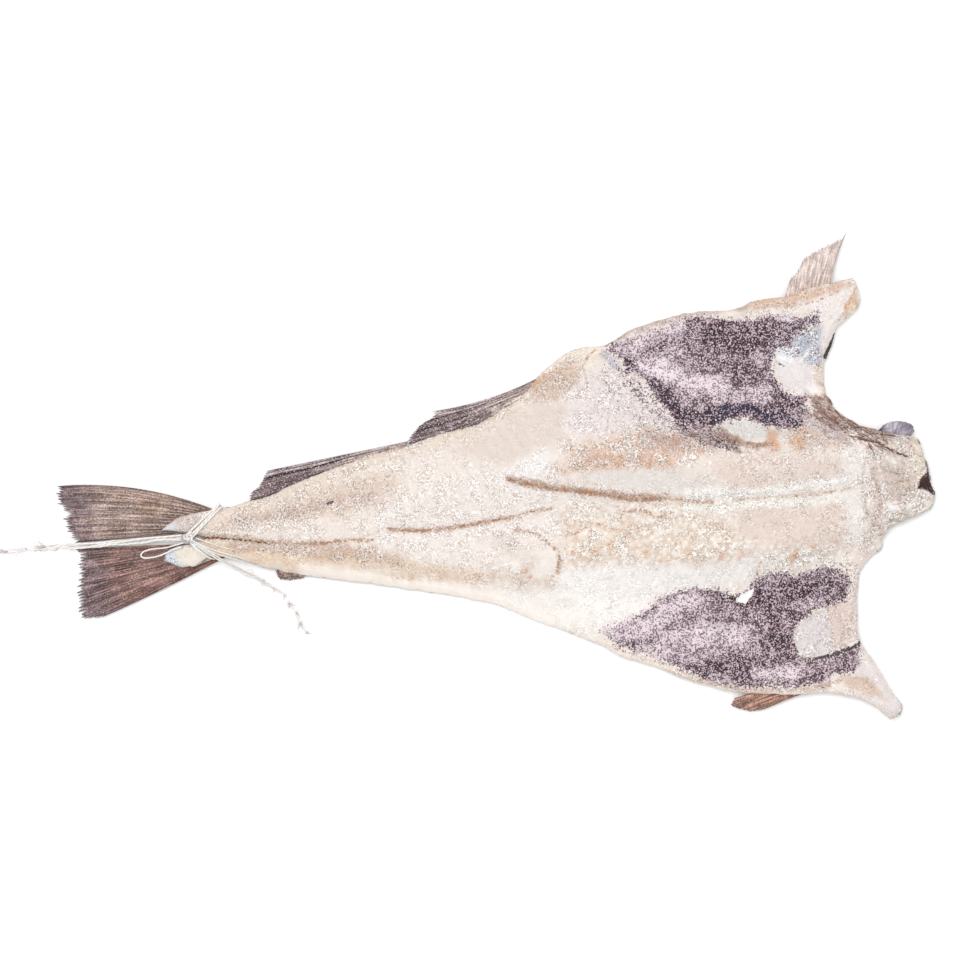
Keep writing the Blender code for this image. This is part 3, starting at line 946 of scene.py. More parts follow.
WASHES = (
    # The tail end and its narrow part
    Wash((227, 208, 194), "212,512 260,502 330,482 400,470 400,505 330,520 205,536", coarse=0.9,
         specks=0.25, soft=8),
    Wash((229, 207, 184), "203,541 300,548 400,556 480,575 440,594 300,573 210,552", coarse=0.42,
         specks=0.1, soft=8),
    Wash((252, 242, 233), "300,575 440,598 560,634 560,606 440,578 300,564", soft=9, coarse=0.05,
         specks=0.0),
    Wash((208, 180, 161), "236,545 340,552 400,558", reach=8, ragged=7, coarse=1.1, specks=0.6,
         strength=0.8),
    Wash((235, 219, 206), "215,511 245,501 262,498 320,473 405,445 480,424 540,378 580,350",
         reach=12, soft=8, strength=0.95, coarse=0.75, specks=0.2),
    Wash((241, 229, 220), "270,530 330,515 400,505 400,520 300,535", coarse=0.6, strength=0.8),
    Wash((204, 180, 169), "238,521 290,512 330,503 378,495", reach=4.0, coarse=1.0, specks=0.6,
         strength=0.8),
    Wash((226, 196, 184), "338,502 356,499", reach=3.0, soft=3.0, strength=0.6, coarse=1.1),
    # The middle of both loins
    Wash((242, 232, 226), "380,500 470,470 560,470 600,510 560,535 440,560 380,550", soft=12,
         coarse=0.6, specks=0.0),
    Wash((228, 214, 204), "450,450 540,400 570,400 560,450 500,465", soft=10, coarse=0.22,
         specks=0.05),
    Wash((246, 241, 238), "500,475 545,450 560,460 520,488", soft=7, coarse=0.5, specks=0.0),
    Wash((228, 208, 192), "395,574 550,580", reach=5, strength=0.6, coarse=0.6, specks=0.25),
    Wash((244, 236, 228), "520,548 556,548 556,572 530,580 510,565", soft=3, coarse=0.1,
         specks=0.0),
    Wash((214, 196, 186), "500,540 530,560 520,585 546,590", reach=8, strength=0.35, coarse=0.8,
         specks=0.3),
    # The upper loin and shoulder
    Wash((216, 193, 177), "528,388 545,374 565,367 579,369 578,385 560,398 535,404", soft=4,
         coarse=0.8, specks=0.3),
    Wash((214, 168, 138), "528,389 545,376 560,369 576,368", reach=1.6, soft=2.0, ragged=2.5,
         coarse=0.9),
    Wash((240, 227, 214), "574,352 600,348 606,360 590,366 578,362", soft=4, coarse=0.5,
         specks=0.0),
    Wash((237, 226, 224), "590,372 612,366 644,384 664,410 684,438 600,440 560,430 568,400", soft=7,
         coarse=0.7, specks=0.3),
    Wash((205, 199, 206), "604,350 623,366 617,371 602,356", soft=2.5, ragged=2, coarse=0.4),
    Wash((229, 201, 185), "566,448 640,428 705,432 716,452 660,468 575,470", soft=7, coarse=1.3,
         specks=0.45),
    Wash((196, 162, 148), "650,440 700,444", reach=8, soft=6, strength=0.8, coarse=1.3, specks=0.4),
    Wash((214, 168, 134), "562,466 600,462 640,461 668,466", reach=8, soft=5, ragged=6,
         strength=0.7, coarse=1.1, specks=0.5, broken=0.8),
    Wash((233, 226, 220), "585,472 665,470 720,482 700,492 640,492 580,484", soft=4, coarse=0.3,
         specks=0.0),
    # The backbone
    Wash((206, 180, 160), "510,478 560,485 620,492 680,498", reach=4, soft=4, ragged=4,
         strength=0.5, coarse=1.0, specks=0.4, broken=0.8),
    Wash((206, 168, 148), "508,479 530,483 560,488 600,492 630,496 662,497", reach=2.4, soft=1.2,
         ragged=3, coarse=1.0, specks=0.6, broken=0.3),
    Wash((216, 180, 152), "662,499 684,501 712,502", reach=1.6, soft=1.6, ragged=3, coarse=0.9,
         specks=0.6),
    Wash((248, 243, 238), "690,496 735,492 800,485 862,474", reach=6, soft=3, coarse=0.8,
         specks=0.0),
    Wash((248, 243, 236), "660,508 735,506 800,503 850,498", reach=4, soft=3, coarse=0.8,
         specks=0.0),
    # The flat fields behind the neck
    Wash((233, 216, 206), "716,450 790,454 850,458 852,476 790,483 735,488 712,470", soft=5,
         coarse=0.56, specks=0.05),
    Wash((232, 215, 204), "735,510 800,506 850,505 853,530 840,545 780,545 738,540", soft=5,
         coarse=0.54, specks=0.05),
    Wash((240, 225, 211), "560,515 700,515 735,530 735,560 560,560", soft=6, ragged=7, strength=0.8,
         coarse=0.75, specks=0.18),
    Wash((252, 247, 243),
         "560,570 640,562 700,566 760,562 752,586 700,586 655,596 640,612 600,630 560,610", soft=8,
         ragged=9, coarse=0.38, specks=0.0),
    Wash((248, 242, 236), "500,590 560,590 600,628 600,640 560,626 500,602", soft=8, coarse=0.25,
         specks=0.0),
    Wash((241, 234, 229), "838,446 874,450 872,500 866,540 848,545 842,500", soft=5, ragged=6,
         coarse=0.58, specks=0.05),
    Wash((247, 240, 232), "760,555 830,548 856,560 840,568 790,572 762,575", soft=5, coarse=0.9,
         specks=0.05),
    Wash((226, 206, 194), "785,428 835,428 850,446 800,452", soft=6, coarse=1.0, specks=0.35),
    Wash((148, 120, 112), "678,430 700,432 722,429 742,440 738,451 718,446 700,444", soft=3,
         ragged=6, coarse=0.9, specks=0.8, broken=0.2),
    Wash((230, 226, 222), "720,426 735,419 750,419 765,424 776,429 770,438 750,439 738,435",
         soft=2.5, ragged=4, coarse=0.35, specks=0.05),
    Wash((158, 114, 90), "713,434 728,440 744,442 756,445 768,444", reach=3.4, soft=1.6, ragged=4,
         strength=0.95, coarse=0.9, specks=0.8, broken=0.3),
    Wash((186, 162, 160), "804,406 822,412 842,428 850,446 826,438 806,426", soft=3, ragged=7,
         coarse=1.0, specks=0.5, broken=0.45),
    # The neck
    Wash((227, 211, 202), "866,440 905,424 930,470 925,505 885,530 862,560 866,500", soft=5,
         coarse=1.0, specks=0.35),
    Wash((206, 186, 174), "880,440 900,455 905,480 888,478", soft=6, ragged=7, strength=0.7,
         coarse=1.0, specks=0.5),
    Wash((160, 124, 112), "818,396 829,390 846,402 886,430 878,439 850,430 828,420 814,408", soft=3,
         ragged=6, coarse=0.6, specks=0.8, broken=0.35),
    Wash((236, 222, 204), "908,432 918,436 927,462 918,478 910,470 914,452", soft=4, ragged=4,
         coarse=0.7, specks=0.1),
    Wash((240, 233, 226), "884,520 915,500 930,505 905,518 884,534", soft=3, coarse=0.8,
         specks=0.1),
    Wash((186, 166, 150), "896,474 914,476 914,498 884,500", soft=4, ragged=6, strength=0.7,
         coarse=1.3, specks=0.5, broken=0.5),
    Wash((244, 238, 234), "884,455 897,458 895,467 886,464", soft=3, ragged=9, strength=0.8,
         coarse=0.7, specks=0.0),
    Wash((248, 243, 240), "886,503 899,502 897,509 888,509", soft=2, ragged=3, coarse=0.4,
         specks=0.0),
    Wash((84, 50, 46), NECK_HOLLOW, soft=0.9, ragged=1.5, coarse=0.6, specks=0.0),
    Wash((56, 32, 30), "917,489 920,479 930,478 933,491", soft=1.5, ragged=3, coarse=0.35),
    # The collar and the rims
    Wash((222, 190, 168), "700,304 757,298 795,292 850,278 856,286 820,298 785,307 745,309 700,312",
         soft=3, coarse=0.6, specks=0.3),
    Wash((203, 184, 174), "606,343 640,327 690,312 745,306", reach=3.0, soft=3, coarse=0.6,
         specks=0.3),
    Wash((243, 234, 230), "800,304 846,286 852,300 838,322 828,352 820,318", soft=3, coarse=0.3,
         specks=0.0),
    Wash((228, 190, 164), "856,288 858,306 846,320 844,306", soft=2, ragged=2, coarse=0.5,
         specks=0.3),
    Wash((244, 230, 204), "846,312 852,304 856,306 848,318", soft=1.5, ragged=1),
    Wash((188, 192, 208), "784,348 802,333 820,322 822,345 820,366 806,366 800,356", soft=3,
         ragged=5, coarse=1.4, specks=0.0),
    # A painted highlight on the left part of the blue window, with a whiter line through it.
    Wash((236, 238, 242), "777,350 795,348 800,360 782,366", soft=3, ragged=3, coarse=0.7),
    Wash((250, 250, 252), "778,356 790,360 800,364 808,352", reach=1.5, soft=1, ragged=3,
         coarse=0.4),
    Wash((237, 229, 229), "778,366 800,362 822,370 822,392 800,395 784,388", soft=3, coarse=0.25,
         specks=0.05),
    Wash((237, 222, 208), "814,366 824,364 825,392 818,396", soft=2.5, coarse=0.5, specks=0.1),
    Wash((229, 210, 201), "826,608 848,598 860,606 859,645 836,650 833,628", soft=2.5, ragged=2,
         coarse=0.6, specks=0.25),
    Wash((238, 222, 214), "848,562 868,556 862,600 860,642 854,640 852,598", soft=3, coarse=0.8,
         specks=0.2),
    Wash((226, 217, 217), "797,626 822,610 828,612 836,650 815,659 800,656 794,640", soft=2,
         ragged=1, coarse=0.7, specks=0.0),
    Wash((236, 226, 223), "858,645 870,662 905,708 885,714 858,690 842,690", soft=3, coarse=0.35,
         specks=0.05),
    Wash((222, 200, 184), "838,684 850,676 868,680 884,698 860,694", soft=3, coarse=0.4,
         specks=0.1),
    Wash((243, 231, 221), "600,643 660,667 700,681 745,691 800,691 845,688", reach=4.2, soft=2,
         ragged=1.5, coarse=0.4, specks=0.05),
    Wash((216, 190, 174), "664,670 700,682 745,690 790,691 830,685", reach=2.2, soft=1.4, ragged=3,
         strength=0.8, coarse=0.9),
    Wash((250, 248, 248), "736,598 742,594 755,588 752,598 746,605 740,603", soft=1.0, ragged=0.5,
         coarse=0.1, specks=0.0),
    # The tail's bare ends
    Wash((216, 199, 192), "158,531 165,527 178,515 200,514 200,530 185,534", soft=3, coarse=0.7,
         specks=0.1),
    Wash((228, 226, 231), "160,531 170,527 175,532", reach=4, soft=4, ragged=2, coarse=0.5),
    Wash((250, 247, 245), "839,651 850,645 861,639.5", reach=1.3, soft=0.8, ragged=1.0, coarse=0.1),
    Wash((239, 230, 216), "172,548 200,548 206,564 185,567 172,560", soft=4, ragged=2, coarse=0.2,
         specks=0.0),
    Wash((214, 219, 230), "166,549 168,558 172,564", reach=8, soft=3.5, ragged=4, coarse=1.0),
)
# Orange marks where ribs and blood lay: (pixel along, pixel down, half width, strength)
BLOBS = (
    (412, 577, 3.2, 0.5), (442, 577, 3.5, 0.5), (478, 577, 3.5, 0.5), (494, 575, 3.0, 0.4),
    (524, 571, 4.0, 0.7), (530, 577, 2.6, 0.8), (576, 531, 3.0, 0.5), (595, 550, 3.5, 0.7),
    (610, 545, 3.5, 0.7), (625, 535, 3.5, 0.6), (644, 552, 3.5, 0.5), (660, 560, 3.5, 0.6),
    (687, 553, 3.2, 0.6), (720, 557, 3.5, 0.55), (738, 558, 3.0, 0.5), (794, 556, 5.5, 1.0),
    (812, 547, 4.5, 0.7), (835, 541, 2.6, 0.7), (772, 434, 7.5, 0.65), (772, 445, 8.5, 0.8),
    (800, 434, 8.5, 0.6), (796, 443, 9.0, 0.7), (725, 503, 3.0, 0.6), (604, 527, 2.2, 0.6),
    (589, 531, 2.0, 0.5), (566, 536, 2.2, 0.5), (572, 552, 3.0, 0.5), (584, 558, 3.0, 0.45),
    (700, 566, 3.0, 0.35), (675, 545, 3.0, 0.35),
)
BLOB_TONE = (218, 166, 130)

UPPER_LINING = (
    "606,346 625,338 660,328 680,320 700,315 720,317 735,320 750,320 765,316 783,315 800,316 "
    "820,315 819,322 810,327 800,334 792,341 790,347 777,349 772,360 773,372 777,380 784,390 "
    "790,394 800,396 808,393 807,412 803,426 795,429 780,429 765,425 745,417 725,422 700,431 "
    "685,432 677,426 670,413 661,403 655,393 644,379 624,366 622,360 608,350"
)
LOWER_LINING = (
    "603,632 620,622 640,616 650,608 660,597 680,591 700,588 720,590 735,596 748,590 758,578 "
    "775,573 785,571 795,576 812,571 826,566 842,569 850,580 851,588 845,600 830,606 810,614 "
    "797,626 794,640 800,656 815,659 830,654 850,647 862,641 857,660 856,674 835,674 822,684 "
    "800,687 770,688 745,688 725,685 705,680 693,674 670,664 645,654 620,647 606,637"
)
CHIP = "736,600 742,595 755,589 752,597 746,604 740,603"
OVAL_WINDOW = "797,626 822,610 828,612 836,650 815,659 800,656 794,640"
UPPER_WINDOW = "778,350 800,334 820,322 824,360 820,392 800,395 784,388 774,368"
# Where the lining is veiled with salt: (line, half width, strength)
VEILS = (
    ("614,352 640,341 676,328", 10, 0.6), ("645,366 668,372 690,381 724,388", 13, 0.9),
    ("640,356 660,356", 6, 0.35), ("785,318 812,321", 6, 0.8), ("750,352 764,362", 8, 0.35),
    ("690,392 764,394", 10, 0.5), ("676,352 692,366", 8, 0.3), ("612,630 640,628 668,612", 19, 0.7),
    ("660,598 690,600", 12, 0.7), ("668,638 700,634 744,638", 15, 0.62),
    ("700,612 730,612", 10, 0.3), ("640,647 668,652", 9, 0.6), ("676,656 722,654", 10, 0.35),
    ("758,673 798,674", 7, 0.7), ("740,650 756,652", 7, 0.3), ("800,606 830,592", 7, 0.4),
)
# Where it is bare of salt: (line, half width, how blue it is, how dark it is)
BARE = (
    ("606,350 633,370 652,384", 5, 0.6, 0.1),
    ("655,384 666,399 684,414 700,418 724,413", 7, 0.45, 0.45),
    ("724,413 742,407 758,411 780,417", 7, 1.0, 0.6), ("780,418 800,423", 5, 0.8, 0.2),
    ("712,334 738,345 758,340", 12, 0.0, 0.4), ("760,332 790,330 818,320", 9, 0.0, 0.2),
    ("730,362 752,374", 11, 0.0, 0.05), ("640,617 680,592 740,596", 1.5, 0.7, 0.0),
    ("752,586 780,574 845,570", 4, 0.7, 0.0), ("812,660 865,642", 3, 1.0, 0.2),
    ("784,358 826,328", 22, 1.0, 0.0), ("712,668 742,672", 7, 0.2, 0.3),
    ("765,600 800,590 826,590", 12, 0.1, 0.2), ("772,612 778,640", 9, 0.1, 0.3),
)
# Where it thins out to scattered specks: (outline, how far from a full cover)
PEPPERED = (
    ("784,350 802,333 820,322 822,345 820,366 806,366", -1.3),
    ("612,358 648,388 672,416 694,438 680,440 652,412 626,386", -0.3),
    ("604,354 640,382 664,412 690,436 660,444 622,412 604,382", -1.6),
    ("672,428 706,428 722,434 738,446 730,451 700,444", 0.0),
    ("766,424 800,428 838,412 850,428 800,436 776,434", -1.5),
    ("640,606 700,584 760,572 770,566 762,580 700,592", -2.4),
    ("845,566 858,572 856,600 846,600", -2.2),
)
# Thin dark lines: (line, half width in millimetres)
DARK_LINES = (
    ("815,659.5 835,655 850,648 863,641.5", 1.5), ("625,358 635,366", 0.8),
    ("787,351 793,354", 0.7), ("796,350 801,354", 0.7), ("777,361 785,366", 0.7),
    ("803,334 809,331", 0.7), ("863,439 878,443 888,449 897,453 905,456", 1.0),
    ("919,440 923,449 927,458", 0.7), ("712,438 721,444 728,449", 0.9),
    ("196,537 212,538 232,539 252,541 270,544", 0.7), ("328,503 332,502", 1.6),
    ("876,434 896,436", 0.8),
)
# Cracks and folds: (line, depth and half width in millimetres, half width of the dark in it)
CRACKS = (
    ("193,536 210,537.5 230,538 252,541 275,543", 0.6, 1.2, 2.0),
    ("275,543 300,544 325,543 350,540 372,540", 0.5, 1.2, 1.3),
    ("390,529.5 410,530.5 430,530 450,528 470,525 490,521 510,518", 0.6, 1.2, 1.7),
    ("510,518 530,512 552,508.5", 0.5, 1.2, 1.0),
    ("509,480 535,486 555,489.5 580,492 600,494.5 620,498 640,500 662,499", 1.2, 1.3, 1.8),
    ("662,499 684,501 712,502", 0.5, 1.3, 0.5),
    ("735,499.5 770,497.5 806,495 850,489", 1.6, 1.5, 0.2),
    ("515,530 532,532 542,538 551,546 558,552 559,562 557,573", 0.6, 1.0, 1.0),
    ("595,350 588,358 583,366 587,380 588,390", 0.9, 1.0, 0.4),
    ("863,439 878,443 888,449 897,453 906,456", 1.6, 1.2, 1.1),
    ("872,470 880,500 872,530", 1.6, 1.8, 0.1), ("868,448 862,480 866,520", 1.2, 1.6, 0.2),
    ("890,434 905,440 914,450", 1.0, 1.2, 0.3), ("733,440 750,444 768,445", 1.4, 1.6, 0.9),
    ("826,390 840,402", 1.2, 1.2, 0.7), ("834,404 850,418", 1.2, 1.2, 0.6),
    ("848,414 866,428", 1.2, 1.2, 0.7), ("824,404 838,420", 1.0, 1.2, 0.4),
    ("858,420 876,434", 1.2, 1.2, 0.8), ("856,288 846,306 838,322", 1.3, 1.2, 0.2),
    ("787,307 820,300 846,288", 0.8, 1.3, 0.1),
    ("606,646 660,664 705,680 745,688 800,689 830,683", 1.1, 1.1, -0.2),
    ("836,650 829,612", 0.8, 1.2, 0.2), ("795,638 800,656 815,660 836,652 862,641", 1.0, 1.2, -1.0),
    ("824,689 838,680 852,674 859,664", 1.2, 1.4, 0.1),
    ("838,683 848,677 862,679 872,688", 0.8, 0.9, 0.2), ("760,562 757,576 752,588", 1.0, 1.2, 0.4),
    ("830,344 822,360", 0.8, 1.0, -1.0), ("250,560 330,566 430,584", 0.5, 2.0, -1.0),
    ("262,503 330,477 400,456", 0.6, 2.4, -1.0), ("572,535 596,524 620,531", 0.7, 1.0, 0.7),
    ("622,512 640,510 656,517 672,512", 0.7, 1.0, 0.9),
)
# Where the flesh is crumbly: white lumps with tan between them
CRUMBLY = (
    "556,510 620,506 700,512 735,526 742,545 800,546 850,544 856,558 800,566 740,566 690,566 "
    "640,560 590,568 556,566 566,540"
)
NAPE = "820,394 842,412 880,436"
RIPPLED = (
    "285,516 350,506 440,494", "390,577 550,582",
)
# Crests of salt and flesh: (line, height, half width)
CRESTS = (
    ("512,474 560,483 620,491 700,494 780,490 862,478", 1.5, 2.6),
    ("512,489 560,496 620,505 700,509 780,505 850,500", 1.3, 2.4),
    ("205,531 260,535 330,534", 0.8, 2.0),
    ("395,523 460,521 520,507", 0.7, 2.2),
    ("555,512 620,520 700,520", 0.5, 5.0),
    ("862,448 870,490 864,535", 1.4, 3.0),
    ("846,282 836,310 826,346 822,392 838,416 870,436", 1.2, 2.4),
    ("866,572 858,610 860,642", 1.4, 2.6),
    ("862,648 880,680 898,706", 1.6, 2.6),
    ("600,640 660,666 745,691 820,690", 0.9, 2.4),
    ("600,349 640,329 700,311 780,302", 0.9, 2.2),
)


@dataclass
class Zones:
    """What each point of the flesh holds, as its finish reads it."""

    tint: Array
    coarse: Array
    specks: Array
    lining: Array
    veil: Array
    blue: Array
    crease: Array
    ink: Array


@dataclass
class SplitFish:
    """The body: two loins with a trough between them, thin flaps, collar bones and neck.

    The outlines, widths, heights and grooves are those of the CAD solid.
    """

    lower_edge: Points = (
        (-266, -68), (-250, -74), (-238, -72), (-228, -65), (-212, -66), (-188, -73),
        (-156, -80), (-108, -86), (-60, -93), (-28, -98), (4, -105), (20, -112), (52, -124),
        (88, -138), (100, -145), (132, -155), (148, -162), (184, -172), (204, -175),
        (240, -176), (260, -174), (284, -177), (300, -183), (316, -195.2),
    )
    upper_edge: Points = (
        (-268, -44), (-260, -37), (-250, -32), (-240, -30), (-228, -28), (-212, -26), (-198, -21),
        (-188, -19), (-164, -8), (-140, 2), (-116, 11), (-76, 22), (-44, 33), (-12, 42),
        (4, 52), (20, 62), (33, 78), (52, 94), (68, 102), (84, 103), (108, 116), (128, 123),
        (156, 130), (188, 132), (209, 140), (233, 143), (249, 149), (266, 153), (286, 158),
    )
    centre_line: Points = (
        (-234, -51), (-180, -54), (-116, -51), (-84, -45), (-36, -41), (12, -34), (48, -22),
        (100, -18), (172, -21), (244, -17), (292, -6), (348, -6),
    )
    head_edge: Points = (
        (-195.2, 316), (-192, 323), (-186, 326), (-174, 318), (-164, 312), (-151, 304),
        (-133, 292), (-124, 290), (-100, 290), (-79, 292), (-67, 300), (-57, 310), (-53, 308),
        (-46, 312), (-39, 318), (-34, 333), (-26, 348), (-16, 352.4), (-7, 349), (10, 346),
        (20, 342), (27, 340), (31, 336), (34, 306), (39, 292), (44, 284), (53, 272), (60, 269),
        (66, 264), (84, 263), (94, 264), (108, 269), (117, 272), (129, 285), (135, 291),
        (141, 292), (153, 289), (158, 286),
    )
    tail_lift: Points = ((-270, 3.4), (-215, 3.2), (-170, 0.0), (360, 0.0))
    centre_thickness: Points = (
        (-270, 2.6), (-245, 7), (-225, 9), (-200, 11.5), (-100, 16), (20, 18), (110, 18),
        (250, 17), (300, 16), (335, 15.5), (352, 12),
    )
    loin_thickness: Points = (
        (-270, 2.8), (-245, 7.6), (-225, 10), (-200, 13), (-100, 19), (20, 23), (110, 27),
        (220, 27), (280, 22), (320, 18), (352, 13),
    )
    edge_thickness: Points = (
        (-270, 2.4), (-240, 5), (-150, 6), (0, 7), (90, 6), (290, 6), (352, 8),
    )
    lower_loin_width: Points = (
        (-270, 20), (-150, 33), (0, 66), (60, 86), (130, 82), (240, 66), (352, 60),
    )
    upper_loin_width: Points = (
        (-270, 20), (-150, 50), (0, 82), (70, 92), (150, 72), (240, 62), (352, 60),
    )
    tail_edge: Points = (
        (-74, -252), (-68, -266), (-60, -262), (-55, -244), (-51, -234), (-47.2, -243),
        (-44, -268), (-37, -262), (-30, -244),
    )
    grooves: tuple = (
        (((-236, -49), (-205, -50), (-180, -54), (-140, -55), (-108, -52), (-92, -47)), 2.6, 2.6),
        (((-86, -44), (-52, -44), (-20, -40), (12, -35), (45, -27)), 3.6, 2.4),
        (((10, -4), (32, -9), (68, -14), (100, -18), (132, -20), (172, -22)), 5.0, 3.4),
        (((172, -22), (196, -17), (248, -15)), 1.8, 3.0),
        (((16, -44), (36, -49), (50, -60), (51, -78)), 1.8, 2.4),
    )
    loin_crest: float = 0.42
    loin_foot: tuple[float, float] = (0.46, 1.05)
    rim_level: float = 0.42
    rim_reach: float = 1.0
    flap_hollow: float = 1.2
    lining_start: tuple[float, float] = (70, 110)
    lining_inset: tuple[float, float] = (10, 26)
    collar_ridge: tuple[float, float, float] = (5.0, 9.0, 6.5)
    collar_reach: tuple[float, float] = (52.0, 76.0)
    collar_start: tuple[float, float] = (225, 262)
    rim_roll: tuple[float, float, float] = (1.4, 4.5, 3.0)
    flap_lift: float = 6.5
    flat_reach: tuple[float, float] = (60, 190)
    columns: int = 600
    rows_a_side: int = 150
    skip: int = 6
    waist: float = -230.0
    crowding: float = 0.05
    ragged_edge: float = 0.9
    relief_sink: float = 0.7
    highest: float = 26.6
    open_groove: float = 0.45
    hidden_share: float = 0.25
    veiled: float = 0.17
    specked_crack: float = 0.8
    muscle_layer: float = 8.6
    gap_tone: Tone = (220, 193, 170)
    lump_tone: Tone = (250, 244, 238)
    salt_on_lining: Tone = (240, 226, 231)
    nape_shade: Tone = (0.75, 0.85, 0.9)
    hollow_shade: Tone = (0.1, 0.13, 0.15)
    ripple_shade: Tone = (0.03, 0.05, 0.055)
    back: str = "262,572 360,560 440,528 520,502 640,498 760,500 920,486"
    back_width: Points = ((-260, 26), (-150, 40), (0, 80), (120, 120), (230, 150), (352, 90))
    back_fins: Points = ((275, 400, 11), (430, 560, 13), (600, 700, 15))
    skin_tones: tuple[Tone, ...] = ((92, 84, 72), (150, 140, 122), (214, 206, 194))
    side_line_tone: Tone = (204, 198, 182)

    def plan_grid(self) -> tuple[Array, Array]:
        """The fish's plan: columns from tail to head, rows from lower to upper edge.

        Formula: three guides run from tail to head, along the lower edge, the centre line and the
        upper edge, and the rows lie between them. The last columns are pushed to the head edge by
        along^8 and the first ones to the tail edge by (1 - along)^30.

        Returns:
            The points' positions along and across, as two arrays.
        """
        ends = np.array((0.0, 0.0006, 0.0016))
        inner = np.linspace(0.003, 0.997, self.columns - 5)
        along = np.concatenate([ends, inner, 1 - ends[::-1]])[:, None]
        t = np.linspace(0.0, 0.984, self.rows_a_side - 2)
        crowded = t - self.crowding * np.sin(math.tau * t) * (1 - t**6)
        side = np.concatenate([crowded, (0.9915, 0.997, 1.0)])
        across = np.concatenate([-side[:0:-1], side])[None, :]
        down, up = np.maximum(-across, 0.0), np.maximum(across, 0.0)

        def guide(points: Points) -> tuple[Array, Array]:
            """One guide's places."""
            x = self.waist + along * (points[-1][0] - self.waist)
            x = x + (1 - along) ** 30 * (points[0][0] - self.waist)
            return x, smooth_through(points)(x)

        low, middle, high = map(guide, (self.lower_edge, self.centre_line, self.upper_edge))
        x, y = (low[k] * down + middle[k] * (1 - down - up) + high[k] * up for k in (0, 1))
        head_push = smooth_through(self.head_edge)(y[-1:]) - x[-1:]
        tail_push = smooth_through(self.tail_edge)(y[:1]) - x[:1]
        return x + along**8 * head_push + (1 - along) ** 30 * tail_push, y

    def thickness(self, x: Array, y: Array, inset: Array) -> Array:
        """How thick the fish is, as in the CAD solid.

        Formula: the loins rise from the trough to their crests and fall to the thin flaps, to
        which the collar ridges and the rolled rim are added, and from which the grooves are cut.

        Args:
            x, y: the points.
            inset: how far each lies from the fish's edge.
        Returns:
            The thicknesses.
        """
        across = self.from_centre(x, y)
        low = smooth_through(self.lower_loin_width)(x)
        high = smooth_through(self.upper_loin_width)(x)
        share = np.abs(across) / np.where(across < 0, low, high)
        rise, fall = smoothstep(0.0, self.loin_crest, share), smoothstep(*self.loin_foot, share)
        centre = smooth_through(self.centre_thickness)(x)
        body = centre + (smooth_through(self.loin_thickness)(x) - centre) * rise
        thick = body * (1 - fall) + smooth_through(self.edge_thickness)(x) * fall
        lining = fall * smoothstep(*self.lining_start, x) * smoothstep(*self.lining_inset, inset)
        thick = thick - self.flap_hollow * lining
        height, at, width = self.rim_roll
        thick = thick + height * bump(inset - at, width) * fall
        collar = smoothstep(*self.collar_reach, np.abs(across)) * smoothstep(*self.collar_start, x)
        height, at, width = self.collar_ridge
        thick = thick + height * collar * bump(smooth_through(self.head_edge)(y) - x - at, width)
        for route, depth, half_width in self.grooves:
            near = distance_to(smooth_route(route, 6.0), x, y)
            thick = thick - self.open_groove * depth * bump(near, half_width)
        return thick

    def from_centre(self, x: Array, y: Array) -> Array:
        """How far above the centre line, in plan, each point lies."""
        return y - smooth_through(self.centre_line)(x)

    def zones(self, x: Array, y: Array) -> Zones:
        """What each point of the flesh holds.

        Args:
            x, y: the points.
        Returns:
            The zones.
        """
        tint, coarse, specks = self._tones(x, y)
        ink = np.full(x.shape, FAR_OUTSIDE)
        for line, half_width in DARK_LINES:
            ink = np.maximum(ink, half_width - from_line(line, x, y))
        crease = np.full(x.shape, FAR_OUTSIDE)
        waver = 0.6 * layered(x, y, 4.0, 45, 2)
        for line, _, _, dark in CRACKS:
            near = from_line(line, x, y, 3.0)
            crease = np.maximum(crease, dark - near + waver)
            if dark > self.specked_crack:
                specks = np.maximum(specks, 0.6 * bump(near, 3.5))
        return Zones(tint, coarse, specks, self._lining(x, y), *self._veil(x, y), crease, ink)

    def _tones(self, x: Array, y: Array) -> tuple[Array, Array, Array]:
        """The flesh's tones, wash by wash, then its crumbs, its orange marks and painted shade
        between the nape's torn fibres.

        Args:
            x, y: the points.
        Returns:
            The tint, how coarse the grain is and how many specks there are.
        """
        tint = np.broadcast_to(paint(FLESH_BASE), (*x.shape, 3))
        coarse, specks = np.full(x.shape, 0.5), np.full(x.shape, 0.05)
        for number, wash in enumerate(WASHES):
            mask = wash.mask(x, y, 100 + 5 * number)
            tint = washed(tint, mask, wash.tone)
            if wash.coarse is not None:
                coarse += mask * (wash.coarse - coarse)
            if wash.specks is not None:
                specks += mask * (wash.specks - specks)
        crumbly, lumps = self.crumbs(x, y)
        gaps = 0.45 * crumbly * (1 - smoothstep(0.0, 0.45, lumps))
        tint = washed(tint, gaps, self.gap_tone)
        tint = washed(tint, 0.6 * crumbly * smoothstep(0.5, 0.9, lumps), self.lump_tone)
        for px, py, reach, strength in BLOBS:
            mask = self.blob(x, y, px, py, reach) * strength
            tint = washed(tint, mask, BLOB_TONE)
            coarse = np.maximum(coarse, 1.1 * mask)
        # Painted shade: the tint darkens where the nape's torn fibres dip, as their relief does,
        # and lightens a little on them.
        torn = np.minimum(self.nape(x, y), 0.15)
        return tint * (1 + torn[..., None] * self.nape_shade), coarse, specks

    @staticmethod
    def _lining(x: Array, y: Array) -> Array:
        """How far inside the belly's lining each point lies.

        Args:
            x, y: the points.
        Returns:
            The distances, negative outside the lining and in its windows.
        """
        lining = np.maximum(inside_by(UPPER_LINING, x, y), inside_by(LOWER_LINING, x, y))
        lining = np.where(lining < 0, 0.55 * lining, lining)
        for outline in (CHIP, OVAL_WINDOW):
            lining = np.minimum(lining, -4.0 * inside_by(outline, x, y))
        for outline, level in PEPPERED:
            lining = np.maximum(lining, level + np.minimum(inside_by(outline, x, y), 0.0))
        return np.clip(lining, -30, 30)

